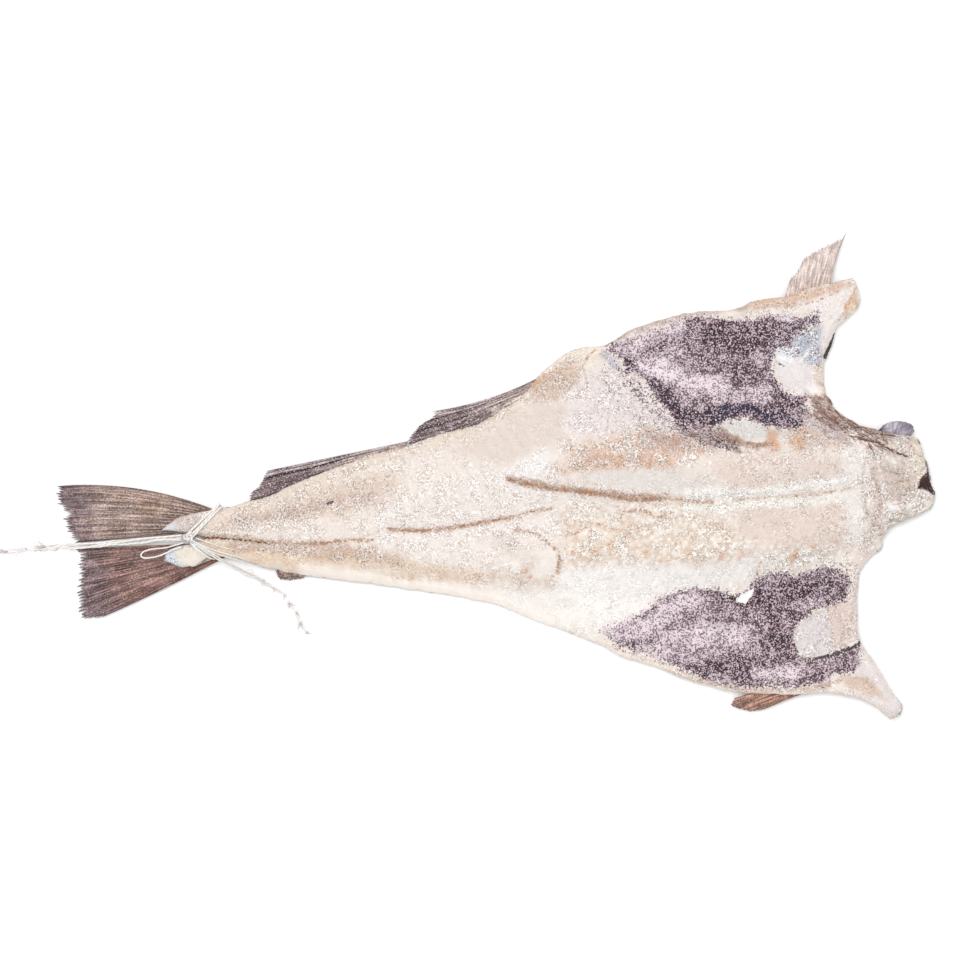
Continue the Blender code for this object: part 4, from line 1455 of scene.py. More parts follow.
    def _veil(self, x: Array, y: Array) -> tuple[Array, Array]:
        """How the lining is veiled with salt.

        Args:
            x, y: the points.
        Returns:
            How much it is veiled, and how blue it is where it is bare.
        """
        veil, blue = np.zeros(x.shape), np.zeros(x.shape)
        waver = 5.0 * layered(x, y, 14.0, 31, 4)
        for line, reach, strength in VEILS:
            share = (from_line(line, x, y) + waver) / (reach * PIXEL)
            veil = np.maximum(veil, strength * (1 - smoothstep(0.35, 1.25, share)))
        waver = 4.0 * layered(x, y, 12.0, 37)
        for line, reach, how_blue, how_dark in BARE:
            share = (from_line(line, x, y) + waver) / (reach * PIXEL)
            bare = 1 - smoothstep(0.4, 1.3, share)
            blue = np.maximum(blue, bare * how_blue)
            veil = veil * (1 - 0.8 * bare) - how_dark * bare
        veil = self.veiled + veil
        veil = veil + 0.3 * layered(x, y, 13.0, 41, 4) + 0.2 * layered(x, y, 5.0, 43, 2)
        return np.clip(veil, -1.0, 1.0), blue

    @staticmethod
    def crumbs(x: Array, y: Array) -> tuple[Array, Array]:
        """How crumbly each place is, and the height of its crumbs."""
        inset = inside_by(CRUMBLY, x, y) + 12.0 * layered(x, y, 14.0, 44)
        lumps = pebbles(x, y, 4.4, 67) + 0.55 * layered(x, y, 5.0, 68, 2)
        return smoothstep(-5.0, 5.0, inset), lumps

    @staticmethod
    def nape(x: Array, y: Array) -> Array:
        """The nape's torn fibres: noise stretched along them, from -1 to 1, nothing elsewhere."""
        near = 1 - smoothstep(6, 15, from_line(NAPE, x, y))
        return near * layered(0.25 * (0.82 * x - 0.57 * y), 0.57 * x + 0.82 * y, 3.4, 91, 2)

    @staticmethod
    def ripples(x: Array, y: Array) -> Array:
        """Stripes of painted shade across the narrow part.

        Formula: waves along it, which fade out beside two lines.

        Args:
            x, y: the points.
        Returns:
            The waves, from -1 to 1.
        """
        upper, lower = (from_line(line, x, y) for line in RIPPLED)
        fading = 1 - smoothstep(5, 13, np.minimum(upper, lower * 2))
        return fading * np.sin(math.tau * (x + 0.25 * y + noise(x, y, 12.0, 92)) / 7.2)

    @staticmethod
    def blob(x: Array, y: Array, px: float, py: float, reach: float) -> Array:
        """A ragged round mark.

        Args:
            x, y: the points.
            px, py: the pixel of the photo that it lies about.
            reach: its half width, in pixels.
        Returns:
            How strong the mark is, from 0 to 1.
        """
        cx, cy = in_place(f"{px},{py}")[0]
        away = np.hypot(x - cx, (y - cy) * 0.85) + 1.5 * layered(x, y, 4.0, int(px), 2)
        return 1 - smoothstep(0.3, 1.2, away / (reach * PIXEL))

    def relief(self, x: Array, y: Array, zones: Zones) -> Array:
        """The flesh's fine relief.

        Formula: layered noise for the crust, round lumps for its crumbs, waves for the muscle's
        layers, a step at the lining's edge, and named cracks and crests.

        Args:
            x, y: the points.
            zones: what they hold.
        Returns:
            The heights that the relief adds.
        """
        lining = smoothstep(-1.2, 1.4, zones.lining + 1.6 * layered(x, y, 5.0, 51))
        neck = smoothstep(290, 318, x) * smoothstep(-75, -30, y)
        patchy = smoothstep(-0.35, 0.45, layered(x, y, 18.0, 53))
        crumbs = zones.coarse * (0.55 + 0.75 * patchy) * pebbles(x, y, 3.4, 54)
        crumbs = crumbs + 0.5 * zones.coarse * pebbles(x, y, 1.9, 55)
        crust = 0.55 * layered(x, y, 8.0, 56) + 0.5 * layered(x, y, 26.0, 57, 2)
        height = crust * (0.3 + 0.9 * np.minimum(zones.coarse, 1.0)) + 0.95 * crumbs
        height = height * (1 - 0.5 * lining)
        crumbly, lumps = self.crumbs(x, y)
        height += 0.8 * crumbly * (lumps - 0.4) + 1.7 * self.nape(x, y)
        across = np.abs(self.from_centre(x, y))
        lay = x + 0.55 * np.abs(across - 34) + 2.5 * noise(x, y, 22.0, 58)
        muscle = (1 - lining) * (1 - neck) * smoothstep(6, 16, across)
        waves = 0.11 * muscle * np.sin(math.tau * lay / self.muscle_layer)
        height += waves * (1 + layered(x, y, 30.0, 59, 2))
        rolled = 0.45 * bump(zones.lining - 1.0, 1.6) * (1 + layered(x, y, 6.0, 60, 2))
        height += 0.45 * lining + rolled
        folds = 1 - np.abs(noise(x * 0.55 + y * 0.2, y, 9.0, 61))
        height += 0.5 * lining * (folds - 0.6)
        waver = 0.5 * noise(x, y, 3.0, 62)
        for line, depth, width, _ in CRACKS:
            height -= depth * bump(from_line(line, x, y, 4.0) + waver, width)
        lumpy = 0.55 + 0.55 * pebbles(x, y, 4.2, 63) + 0.3 * noise(x, y, 7.0, 64)
        for line, rise, width in CRESTS:
            height += rise * bump(from_line(line, x, y, 4.0), width) * lumpy
        for px, py, reach, strength in BLOBS:
            height += 0.8 * strength * self.blob(x, y, px, py, reach + 1.0)
        torn = 1 - np.abs(noise(x, y, 8.0, 65))
        height += neck * (1.3 * layered(x, y, 9.0, 66, 4) - 1.3 * smoothstep(0.86, 1.0, torn))
        height += 0.9 * smoothstep(-0.6, 0.8, inside_by(CHIP, x, y))
        height -= 3.4 * smoothstep(-0.6, 2.6, inside_by(NECK_HOLLOW, x, y))
        for window in (OVAL_WINDOW, UPPER_WINDOW):
            height -= 0.6 * smoothstep(-0.6, 1.6, inside_by(window, x, y))
        return height

    def shape(self) -> None:
        """Works out the plan, the tones with their painted shade, and the heights of the two sides
        and of their seam.
        """
        x, y = self.plan_grid()
        inset = distance_to(Sheet(x, y).border()[:: self.skip], x, y)
        collar_point = 1.3 * smoothstep(290, 310, x) * smoothstep(-80, -60, y)
        loose = self.ragged_edge * bump(inset, 5.0) * (1 + collar_point)
        x, y = x + loose * layered(x, y, 5.0, 71), y + loose * layered(x, y, 5.0, 75)
        lift = self.flap_lift * smoothstep(*self.flat_reach, np.abs(self.from_centre(x, y)))
        low = smooth_through(self.tail_lift)(x) + lift
        thick = self.thickness(x, y, inset)
        rim = np.minimum(inset / (thick / 2 + self.rim_reach), 1.0)
        rounding = np.sqrt(np.maximum(1 - (1 - rim) ** 2, 0.0))
        self.seam = low + self.rim_level * thick
        self.held = zones = self.zones(x, y)
        relief = self.relief(x, y, zones) - self.relief_sink
        # Painted shade and light: the tint darkens where the relief dips below the mean round it
        # and lightens where it stands above it, and takes painted stripes of shade along the narrow
        # part's ripples.
        rough = np.tanh(self.hollows(relief) / 0.7) * (1 - smoothstep(0, 2, zones.lining))
        rough = rough * (0.3 + 0.7 * np.minimum(zones.coarse, 1.0))
        shade = rough[..., None] * self.hollow_shade
        zones.tint = zones.tint * (1 + shade + self.ripples(x, y)[..., None] * self.ripple_shade)
        top = low + thick + relief * smoothstep(0.0, 3.0, inset)
        top = np.minimum(top, self.highest + 0.3 * np.tanh((top - self.highest) / 2))
        self.over = self.seam + (top - self.seam) * rounding
        self.under = self.seam + (low - self.seam) * rounding
        self.x, self.y, self.inset = x, y, inset

    @staticmethod
    def hollows(height: Array) -> Array:
        """How far each point stands over the mean of the points round it, below it if negative.

        Args:
            height: the points' heights.
        Returns:
            The differences.
        """
        mean = height
        for axis in (0, 1):
            mean = sum(np.roll(mean, k, axis) for k in range(-3, 4)) / 7
        return height - mean

    def height_at(self, places: Array, reach: float = 2.0) -> Array:
        """The height of the flesh at places of the plan.

        Args:
            places: the places.
            reach: how far from a place the nearest point of the flesh may be.
        Returns:
            The heights, nothing where no point is within reach.
        """
        heights = []
        for px, py in places:
            away = np.hypot(self.x - px, self.y - py)
            k = np.unravel_index(away.argmin(), away.shape)
            heights.append(self.over[k] if away[k] < reach else 0.0)
        return np.array(heights)

    def build(self, flesh: Material, skin: Material, salt: Material) -> None:
        """Makes the flesh in two halves, the skin under them and the salt on them.

        Args:
            flesh: the flesh's material.
            skin: the skin's material.
            salt: the material of the salt and the torn fibres.
        """
        hidden = self.seam + (self.under - self.seam) * self.hidden_share
        middle = self.rows_a_side
        halves = {"cod_flesh_lower": np.s_[:, : middle + 1], "cod_flesh_upper": np.s_[:, middle:]}
        for name, half in halves.items():
            sheet = Sheet(self.x[half], self.y[half], self.skip)
            held = {k.name: sheet.over(getattr(self.held, k.name)[half]) for k in fields(Zones)}
            form = sheet.points(self.over[half], hidden[half]), sheet.faces(True)
            made = piece(name, form, flesh, ["cod"], held)
            self._sharpen(made, sheet.index[:, -1 if half[1].stop else 0])
        self._skin(skin)
        self._salt(salt)
        for torn in TORN:
            torn.build(self, salt)

    @staticmethod
    def _sharpen(made: bpy.types.Object, seam: Array) -> None:
        """Keeps the hidden side of the join between the halves from shading the flesh beside it.

        Args:
            made: one half.
            seam: the numbers of its points along the join.
        """
        mesh = made.data
        ends = np.empty(2 * len(mesh.edges), int)
        mesh.edges.foreach_get("vertices", ends)
        sharp = np.isin(ends.reshape(-1, 2), seam).all(axis=1)
        mesh.attributes.new("sharp_edge", "BOOLEAN", "EDGE").data.foreach_set("value", sharp)

    def _skin(self, skin: Material) -> None:
        """Makes the skin side: a dark back, paler flaps, side lines and the folded back fins.

        Args:
            skin: its material.
        """
        every = np.s_[::3, :]
        x, y, seam, under = self.x[every], self.y[every], self.seam[every], self.under[every]
        sheet = Sheet(x, y, 4)
        away = from_line(self.back, x, y, 8.0)
        share = away / smooth_through(self.back_width)(x) + 0.06 * layered(x, y, 16.0, 81)
        dark, middle, pale = self.skin_tones
        tint = washed(paint(dark), smoothstep(0.15, 0.6, share), middle)
        tint = washed(tint, smoothstep(0.6, 1.05, share), pale)
        line = bump(share - 0.5 + 0.1 * bump(x - 150, 60), 0.022)
        tint = washed(tint, 0.6 * line, self.side_line_tone)
        spotted = (1 - smoothstep(0.5, 1.0, share)) * 0.75
        fold, ray = np.zeros(x.shape), np.zeros(x.shape)
        for start, end, reach in self.back_fins:
            first, last = in_place(f"{start},0 {end},0")[:, 0]
            inside = smoothstep(0, 10, x - first) * smoothstep(0, 14, last - x)
            blade = inside * (1 - smoothstep(0.8, 1.0, away / reach))
            fold = np.maximum(fold, blade)
            ray = np.where(blade > 0.02, np.cos(math.tau * (away / 2.6 + x / 9.0)), ray)
        flat = smoothstep(0.2, 0.9, fold)
        raised = 0.7 - 0.5 * flat - 0.18 * flat * ray - 0.25 * line
        raised = raised + 0.12 * layered(x, y, 5.0, 83, 2)
        tint = tint * (1 - 0.3 * flat * (0.5 + 0.5 * ray))[..., None]
        inner = smoothstep(0.0, 6.0, np.abs(seam - under) * 3)
        shown = np.minimum(under + raised * inner, seam)
        form = sheet.points(shown, seam + (shown - seam) * 0.82), sheet.faces(False)
        held = {"tint": sheet.over(tint), "spotted": sheet.over(spotted)}
        piece("cod_skin", form, skin, ["cod"], held)

    def _salt(self, salt: Material) -> None:
        """Scatters salt on the flesh: fine grains everywhere, coarser lumps on its crests.

        Args:
            salt: its material.
        """
        x, y, zones = self.x, self.y, self.held
        covered = smoothstep(0.0, 2.0, zones.lining)
        dry = 1 - smoothstep(-0.5, 0.5, zones.crease)
        near = np.full(x.shape, np.inf)
        for line, _, _ in CRESTS:
            near = np.minimum(near, from_line(line, x, y))
        on_lining = washed(paint(FleshFinish.lining_light), zones.veil, self.salt_on_lining)
        shown = zones.tint + covered[..., None] * (on_lining - zones.tint)
        tint = shown + 0.55 * (paint(SALT_TONE) - shown)
        dry = dry * (1 - smoothstep(-1.0, 0.5, inside_by(NECK_HOLLOW, x, y)))
        calm = smoothstep(1.0, 5.0, self.inset) * dry
        fine = (0.08 + 1.05 * zones.coarse + covered * (0.5 + zones.veil)) * calm
        lumps = (0.15 * zones.coarse + 1.4 * bump(near, 4.0) + 0.1 * covered) * calm
        surface = np.stack([x, y, self.over], -1)
        SaltGrains("salt_grains", 15500, (0.35, 0.85), 301).build(surface, fine, tint, salt)
        SaltGrains("salt_lumps", 2600, (0.8, 1.5), 302, flat=0.6).build(surface, lumps, tint, salt)


@dataclass
class SaltGrains:
    """Grains of salt strewn on a surface: cubes with cut shapes of their own, half sunk into it."""

    name: str
    count: int
    sizes: tuple[float, float]
    seed: int
    flat: float = 0.8
    sunk: float = 0.28
    uneven: float = 0.16
    most_tilt: float = 0.5

    def build(self, surface: Array, density: Array, tint: Array, finish: Material) -> None:
        """Strews the grains.

        Formula: a grain lies at a random place in a cell drawn by area times density, and its
        eight corners are (+-1, +-1, +-1) scaled, made uneven and turned at random.

        Args:
            surface: the places of a grid of surface points.
            density: how thickly the grains lie at each point.
            tint: their colour at each point.
            finish: their material.
        """
        draw = np.random.default_rng(self.seed)
        corner = surface[:-1, :-1]
        side, up = surface[1:, :-1] - corner, surface[:-1, 1:] - corner
        area = np.abs(side[..., 0] * up[..., 1] - side[..., 1] * up[..., 0])
        weight = (area * density[:-1, :-1]).ravel()
        cell = draw.choice(weight.size, self.count, p=weight / weight.sum())
        i, j = np.unravel_index(cell, side.shape[:2])
        u, v = draw.uniform(0, 1, (2, self.count, 1))
        centre = surface[i, j] * (1 - u) * (1 - v) + surface[i + 1, j] * u * (1 - v)
        centre = centre + surface[i, j + 1] * (1 - u) * v + surface[i + 1, j + 1] * u * v
        size = draw.uniform(*self.sizes, (self.count, 1, 1)) / 2
        ends = (-1.0, 1.0)
        corners = np.array([(a, b, c) for a in ends for b in ends for c in ends])
        shape = corners * size * draw.uniform(0.65, 1.0, (self.count, 1, 3))
        shape = shape * (1 + draw.uniform(-self.uneven, self.uneven, (self.count, 8, 3)))
        shape[..., 2] *= self.flat
        shape = np.einsum("nij,nkj->nki", self._turns(draw), shape)
        centre[:, 2] += size[:, 0, 0] * self.sunk
        points = (centre[:, None] + shape).reshape(-1, 3)
        cube = ((0, 1, 3, 2), (4, 6, 7, 5), (0, 4, 5, 1), (2, 3, 7, 6), (0, 2, 6, 4), (1, 5, 7, 3))
        faces = (np.array(cube)[None] + 8 * np.arange(self.count)[:, None, None]).reshape(-1, 4)
        held = {"tint": np.repeat(tint[i, j], 8, axis=0)}
        grains = piece(self.name, (points, faces.tolist()), finish, (), held)
        grains.data.shade_flat()

    def _turns(self, draw: np.random.Generator) -> Array:
        """Random turns: about the upright axis by any angle, then a tilt.

        Args:
            draw: where the random numbers come from.
        Returns:
            A turn for each grain.
        """
        turn = draw.uniform(0, math.tau, self.count)
        tilt = draw.uniform(-self.most_tilt, self.most_tilt, self.count)
        way = draw.uniform(0, math.tau, self.count)
        cos, sin = np.cos(turn), np.sin(turn)
        zero, one = np.zeros(self.count), np.ones(self.count)
        about_z = np.stack([cos, -sin, zero, sin, cos, zero, zero, zero, one], -1)
        kx, ky = np.cos(way) * np.sin(tilt), np.sin(way) * np.sin(tilt)
        lean = np.stack([one, zero, kx, zero, one, ky, -kx, -ky, one], -1)
        return lean.reshape(-1, 3, 3) @ about_z.reshape(-1, 3, 3)


TORN_FLESH = (
    (150, 112, 98), (118, 84, 74), (222, 202, 192), (190, 160, 146), (162, 124, 108),
)
PALE_FLESH = ((236, 224, 214), (214, 196, 182), (190, 168, 150))


@dataclass
class TornFibres:
    """Torn fibres of flesh that lie along a line of the photo, each of one of a few tones."""

    name: str
    line: str
    reach: float
    count: int
    lengths: tuple[float, float]
    seed: int
    tones: tuple[Tone, ...] = TORN_FLESH
    radius: float = 0.42
    lowest: float = 4.0
    sides: int = 5

    def build(self, fish: SplitFish, finish: Material) -> None:
        """Lays the fibres.

        Formula: a fibre starts beside a random place of the line, heads along it give or take a
        little, bends slowly, and stands off the flesh by up to 0.65 mm in its middle. One that
        would leave the flesh isn't laid.

        Args:
            fish: what they lie on.
            finish: their material.
        """
        draw = np.random.default_rng(self.seed)
        route = smooth_route(in_place(self.line), 1.0)
        s = np.linspace(0.0, 1.0, 8)
        made, tints = [], []
        for _ in range(self.count):
            k = draw.integers(len(route) - 1)
            ahead = route[k + 1] - route[k]
            ahead = ahead / np.linalg.norm(ahead)
            aside = draw.uniform(-1, 1) * self.reach * np.array((-ahead[1], ahead[0]))
            heading = math.atan2(ahead[1], ahead[0]) + draw.normal(0, 0.25)
            angle = heading + draw.normal(0, 0.4) * s
            step = draw.uniform(*self.lengths) / len(s)
            run = np.cumsum(np.column_stack([np.cos(angle), np.sin(angle)]), axis=0)
            plan = route[k] + aside + step * run
            stand = 0.15 + draw.uniform(0.0, 0.5) * np.sin(math.pi * s)
            tone = self.tones[draw.integers(len(self.tones))]
            height = fish.height_at(plan, 1.2)
            if height.min() < self.lowest:
                continue
            path = np.column_stack([plan, height + stand])
            made.append(tube(path, self.radius * (1 - 0.6 * s), self.sides))
            tints.append(np.tile(paint(tone), (len(made[-1][0]), 1)))
        piece(self.name, several(made), finish, (), {"tint": np.concatenate(tints)})


TORN = (
    TornFibres("nape_fibres", "812,404 834,416 856,428 884,442", 9.0, 260, (3, 9), 311),
    TornFibres("neck_fibres", "922,503 903,517 880,532", 5.0, 60, (2, 6), 312, PALE_FLESH),
)


# Fins


class FinLook(Enum):
    """The finish of a fin."""

    DARK = FinFinish("spread_fin", 0.6, 0.25, salt_amount=0.22, streaks=0.46, speckle=0.36)
    SALTED = FinFinish(
        "folded_fin", 0.6, 0.25, salt_amount=0.42, streaks=0.5, speckle=0.4, salt_share=0.85,
        salt_tone=(220, 210, 212),
    )
    PALE = FinFinish("pale_fin", 0.6, 0.25, salt_amount=0.2, streaks=0.24, speckle=0.12)


class Lay(Enum):
    """How a fin's rays lie: spread like a fan, or folded on each other along the body."""

    SPREAD = "spread"
    FOLDED = "folded"


@dataclass(frozen=True)
class FinTones:
    """The colours of a fin: its web, its rays, its root, its tip and its first and last rim."""

    web: Tone
    ray: Tone
    root: Tone
    tip: Tone
    rim: Tone


@dataclass
class Fin:
    """One fin, a thin fan from a root line inside the fish to its free edge."""

    name: str
    root: str
    edge: str
    levels: tuple[float, float]
    thicknesses: tuple[float, float]
    tones: FinTones
    rays: int
    seed: int
    notch: tuple[float, float] = (1.5, 6.0)
    patches: tuple[tuple[float, float, float, Tone], ...] = ()
    bow: tuple[float, float] = (0.0, 0.0)
    lay: Lay = Lay.SPREAD
    look: FinLook = FinLook.DARK
    columns: int = 200
    rows: int = 64
    ray_height: float = 0.4
    wave: float = 0.5
    lowest: float = 0.15
    thinnest: float = 0.3

    def build(self, finish: Material) -> bpy.types.Object:
        """Makes the fin.

        Formula: a point is root(a) + t (edge(a) - root(a)), shortened by the notch of its tooth
        and bowed by 4 t (1 - t), and its two sides stand apart by the thickness and the rays'
        height.

        Args:
            finish: its material.
        Returns:
            The fin.
        """
        a = np.linspace(0.0, 1.0, self.columns + 1)[:, None]
        t = np.linspace(0.0, 1.0, self.rows + 1)[None, :] ** 0.9
        start, end = self._along(self.root, a), self._along(self.edge, a)
        ray = end - start
        length = np.linalg.norm(ray, axis=-1, keepdims=True)
        side = np.stack([-ray[..., 1], ray[..., 0]], -1) / length
        reach = t * (1 - self._notches(a) / length[..., 0] * t**3)
        bend = (self.bow[0] * (1 - a) ** 2 + self.bow[1] * a**2) * 4 * t * (1 - t)
        plan = start + ray * reach[..., None] + side * bend[..., None]
        x, y = plan[..., 0], plan[..., 1]
        stray = layered(self.rays * a * 2, 3.0 * t + 0 * a, 1.0, self.seed + 2, 2)
        ridge = self._ridge(a + 0.22 / self.rays * stray, t)
        low, high = self._heights(a, t, ridge, layered(x, y, 3.0, self.seed + 3, 2))
        sheet = Sheet(x, y)
        held = {"tint": self._tint(a, t, x, y, ridge), "lay": self._lay_place(a, t)}
        held = {label: sheet.over(values) for label, values in held.items()}
        form = sheet.points(high, low), sheet.faces(True)
        return piece(self.name, form, finish, ["cod"], held)

    @staticmethod
    def _along(line: str, a: Array) -> Array:
        """The place on a smooth line of the photo at each share of its length.

        Args:
            line: the line.
            a: the shares.
        Returns:
            The places.
        """
        route = smooth_route(in_place(line), 0.4)
        at = a * (len(route) - 1)
        k = np.clip(at.astype(int), 0, len(route) - 2)
        return route[k] + (at - k)[..., None] * (route[k + 1] - route[k])

    def _notches(self, a: Array) -> Array:
        """How much each part of the free edge is torn back, between sharp tips of the rays.

        Args:
            a: shares of the way across the fin.
        Returns:
            The depths.
        """
        draw = np.random.default_rng(self.seed)
        teeth = 2 * self.rays
        tooth = np.clip((a * teeth).astype(int), 0, teeth)
        depth = draw.uniform(*self.notch, teeth + 2)
        tip = draw.uniform(0.0, self.notch[1] * 0.6, teeth + 2)
        within = a * teeth - tooth
        gap = bump(within - 0.5, 0.26)
        shift = tip[tooth] * (1 - within) + tip[tooth + 1] * within
        shift = (gap * depth[tooth] + shift) * smoothstep(0.0, 0.04, a)
        return shift * smoothstep(0.0, 0.04, 1 - a)

    def _ridge(self, a: Array, t: Array) -> Array:
        """The height of the rays: each ray forks into two on its way out.

        Args:
            a: shares of the way across the fin.
            t: shares of the way out.
        Returns:
            The heights, from 0 to 1.
        """
        single = np.abs(np.cos(math.pi * self.rays * a)) ** 1.6
        double = np.abs(np.cos(2 * math.pi * self.rays * a)) ** 1.6
        fork = smoothstep(0.35, 0.7, t)
        return single * (1 - fork) + double * fork

    def _heights(self, a: Array, t: Array, ridge: Array, lumps: Array) -> tuple[Array, Array]:
        """The heights of the fin's two sides, which meet along its border.

        Args:
            a: shares of the way across the fin.
            t: shares of the way out.
            ridge: the height of the rays, from 0 to 1.
            lumps: noise that thickens it.
        Returns:
            The heights of the lower and the upper side.
        """
        level = self.levels[0] + (self.levels[1] - self.levels[0]) * t + 0 * a
        level = level + self.wave * t * np.sin(2.3 * math.tau * a + 3 * t + self.seed)
        thick = self.thicknesses[0] + (self.thicknesses[1] - self.thicknesses[0]) * t
        thick = thick + 0.25 * lumps * t
        if self.lay is Lay.FOLDED:
            level = level + 0.6 * smoothstep(0.78, 0.83, self._wavy(a, t))
        half = thick / 2 + self.ray_height * ridge * (1 - 0.4 * t)
        low = np.maximum(level - half, self.lowest)
        high = np.maximum(level + half, low + self.thinnest)
        middle = (low + high) / 2
        for line in (np.s_[0], np.s_[-1], np.s_[:, 0], np.s_[:, -1]):
            high[line] = middle[line]
        return low, high

    def _wavy(self, a: Array, t: Array) -> Array:
        """Shares of the way across, which waver on the way out."""
        return a + 0.02 * np.sin(11 * t + self.seed)

    def _tint(self, a: Array, t: Array, x: Array, y: Array, ridge: Array) -> Array:
        """The fin's colour at each point, from its tones.

        Args:
            a: shares of the way across the fin.
            t: shares of the way out.
            x, y: the points.
            ridge: the height of the rays, from 0 to 1.
        Returns:
            The colours.
        """
        tones = self.tones
        patch = layered(x, y, 14.0, self.seed + 5)
        tint = washed(paint(tones.web), 1 - smoothstep(0.1, 0.5, t + 0.12 * patch), tones.root)
        if self.lay is Lay.FOLDED:
            along = self._wavy(a, t)
            strip = smoothstep(0.79, 0.83, along) * np.ones_like(t)
            inner = (1 - smoothstep(0.0, 0.75, t + 0.1 * patch))[..., None] * 0.7
            tint = washed(tint, strip, tones.tip) + inner * (paint(tones.root) - tint)
            fold = 1.3 * bump(along - 0.77, 0.035) + 0.5 * bump(along - 0.92, 0.015)
            fold = fold + 0.7 * bump(along - 0.4, 0.03)
            tint = washed(tint, np.clip(fold * smoothstep(0.1, 0.5, t), 0, 1), tones.rim)
        else:
            tint = washed(tint, smoothstep(0.72, 0.98, t + 0.1 * patch), tones.tip)
        for px, py, reach, tone in self.patches:
            cx, cy = in_place(f"{px},{py}")[0]
            away = np.hypot(x - cx, y - cy) / (reach * PIXEL) + 0.3 * patch
            tint = washed(tint, 0.8 * (1 - smoothstep(0.3, 1.2, away)), tone)
        lines = (1 - ridge) * (0.5 + 0.6 * noise(x, y, 7.0, self.seed + 9))
        tint = washed(tint, np.clip(lines, 0, 1), tones.ray)
        # The first and last rims darken; on the tail's upper lobe the first, lower rim is partly
        # its dark skin and partly painted shadow of the fold along it.
        border = np.maximum(bump(a, 0.02), bump(1 - a, 0.02)) * np.ones_like(t)
        return washed(tint, 0.75 * border, tones.rim)

    def _lay_place(self, a: Array, t: Array) -> Array:
        """Coordinates for streaks that run along the rays: quick across them, slow along them."""
        across, along = self.rays * a * 1.7 + 0 * t, 3.0 * t + 0 * a
        return np.stack([across, along, 0 * across + self.seed], -1)


# The upper lobe's rim tone is partly its dark skin and partly painted shadow of the fold along its
# lower rim.
TAIL_TONES = FinTones((182, 158, 148), (92, 68, 64), (172, 144, 132), (138, 118, 120), (78, 56, 56))
LOWER_TAIL_TONES = FinTones(
    (155, 121, 113), (70, 39, 38), (148, 106, 96), (136, 116, 120), (134, 92, 78)
)
ANAL_TONES = FinTones((134, 112, 114), (54, 38, 44), (222, 202, 192), (184, 166, 168), (26, 15, 19))
UPPER_PECTORAL_TONES = FinTones(
    (234, 216, 208), (188, 168, 160), (204, 176, 162), (226, 212, 206), (150, 130, 126)
)
LOWER_PECTORAL_TONES = FinTones(
    (184, 140, 122), (122, 88, 78), (152, 110, 94), (168, 134, 122), (104, 74, 66)
)
BACK_FIN_TONES = FinTones(
    (172, 146, 136), (116, 94, 88), (166, 138, 126), (150, 128, 122), (96, 76, 72)
)
NECK_TONES = FinTones(
    (170, 160, 174), (124, 114, 130), (158, 146, 158), (150, 138, 154), (98, 90, 104)
)
SLIVER_TONES = FinTones((70, 60, 62), (40, 34, 38), (60, 50, 52), (60, 52, 54), (36, 30, 34))

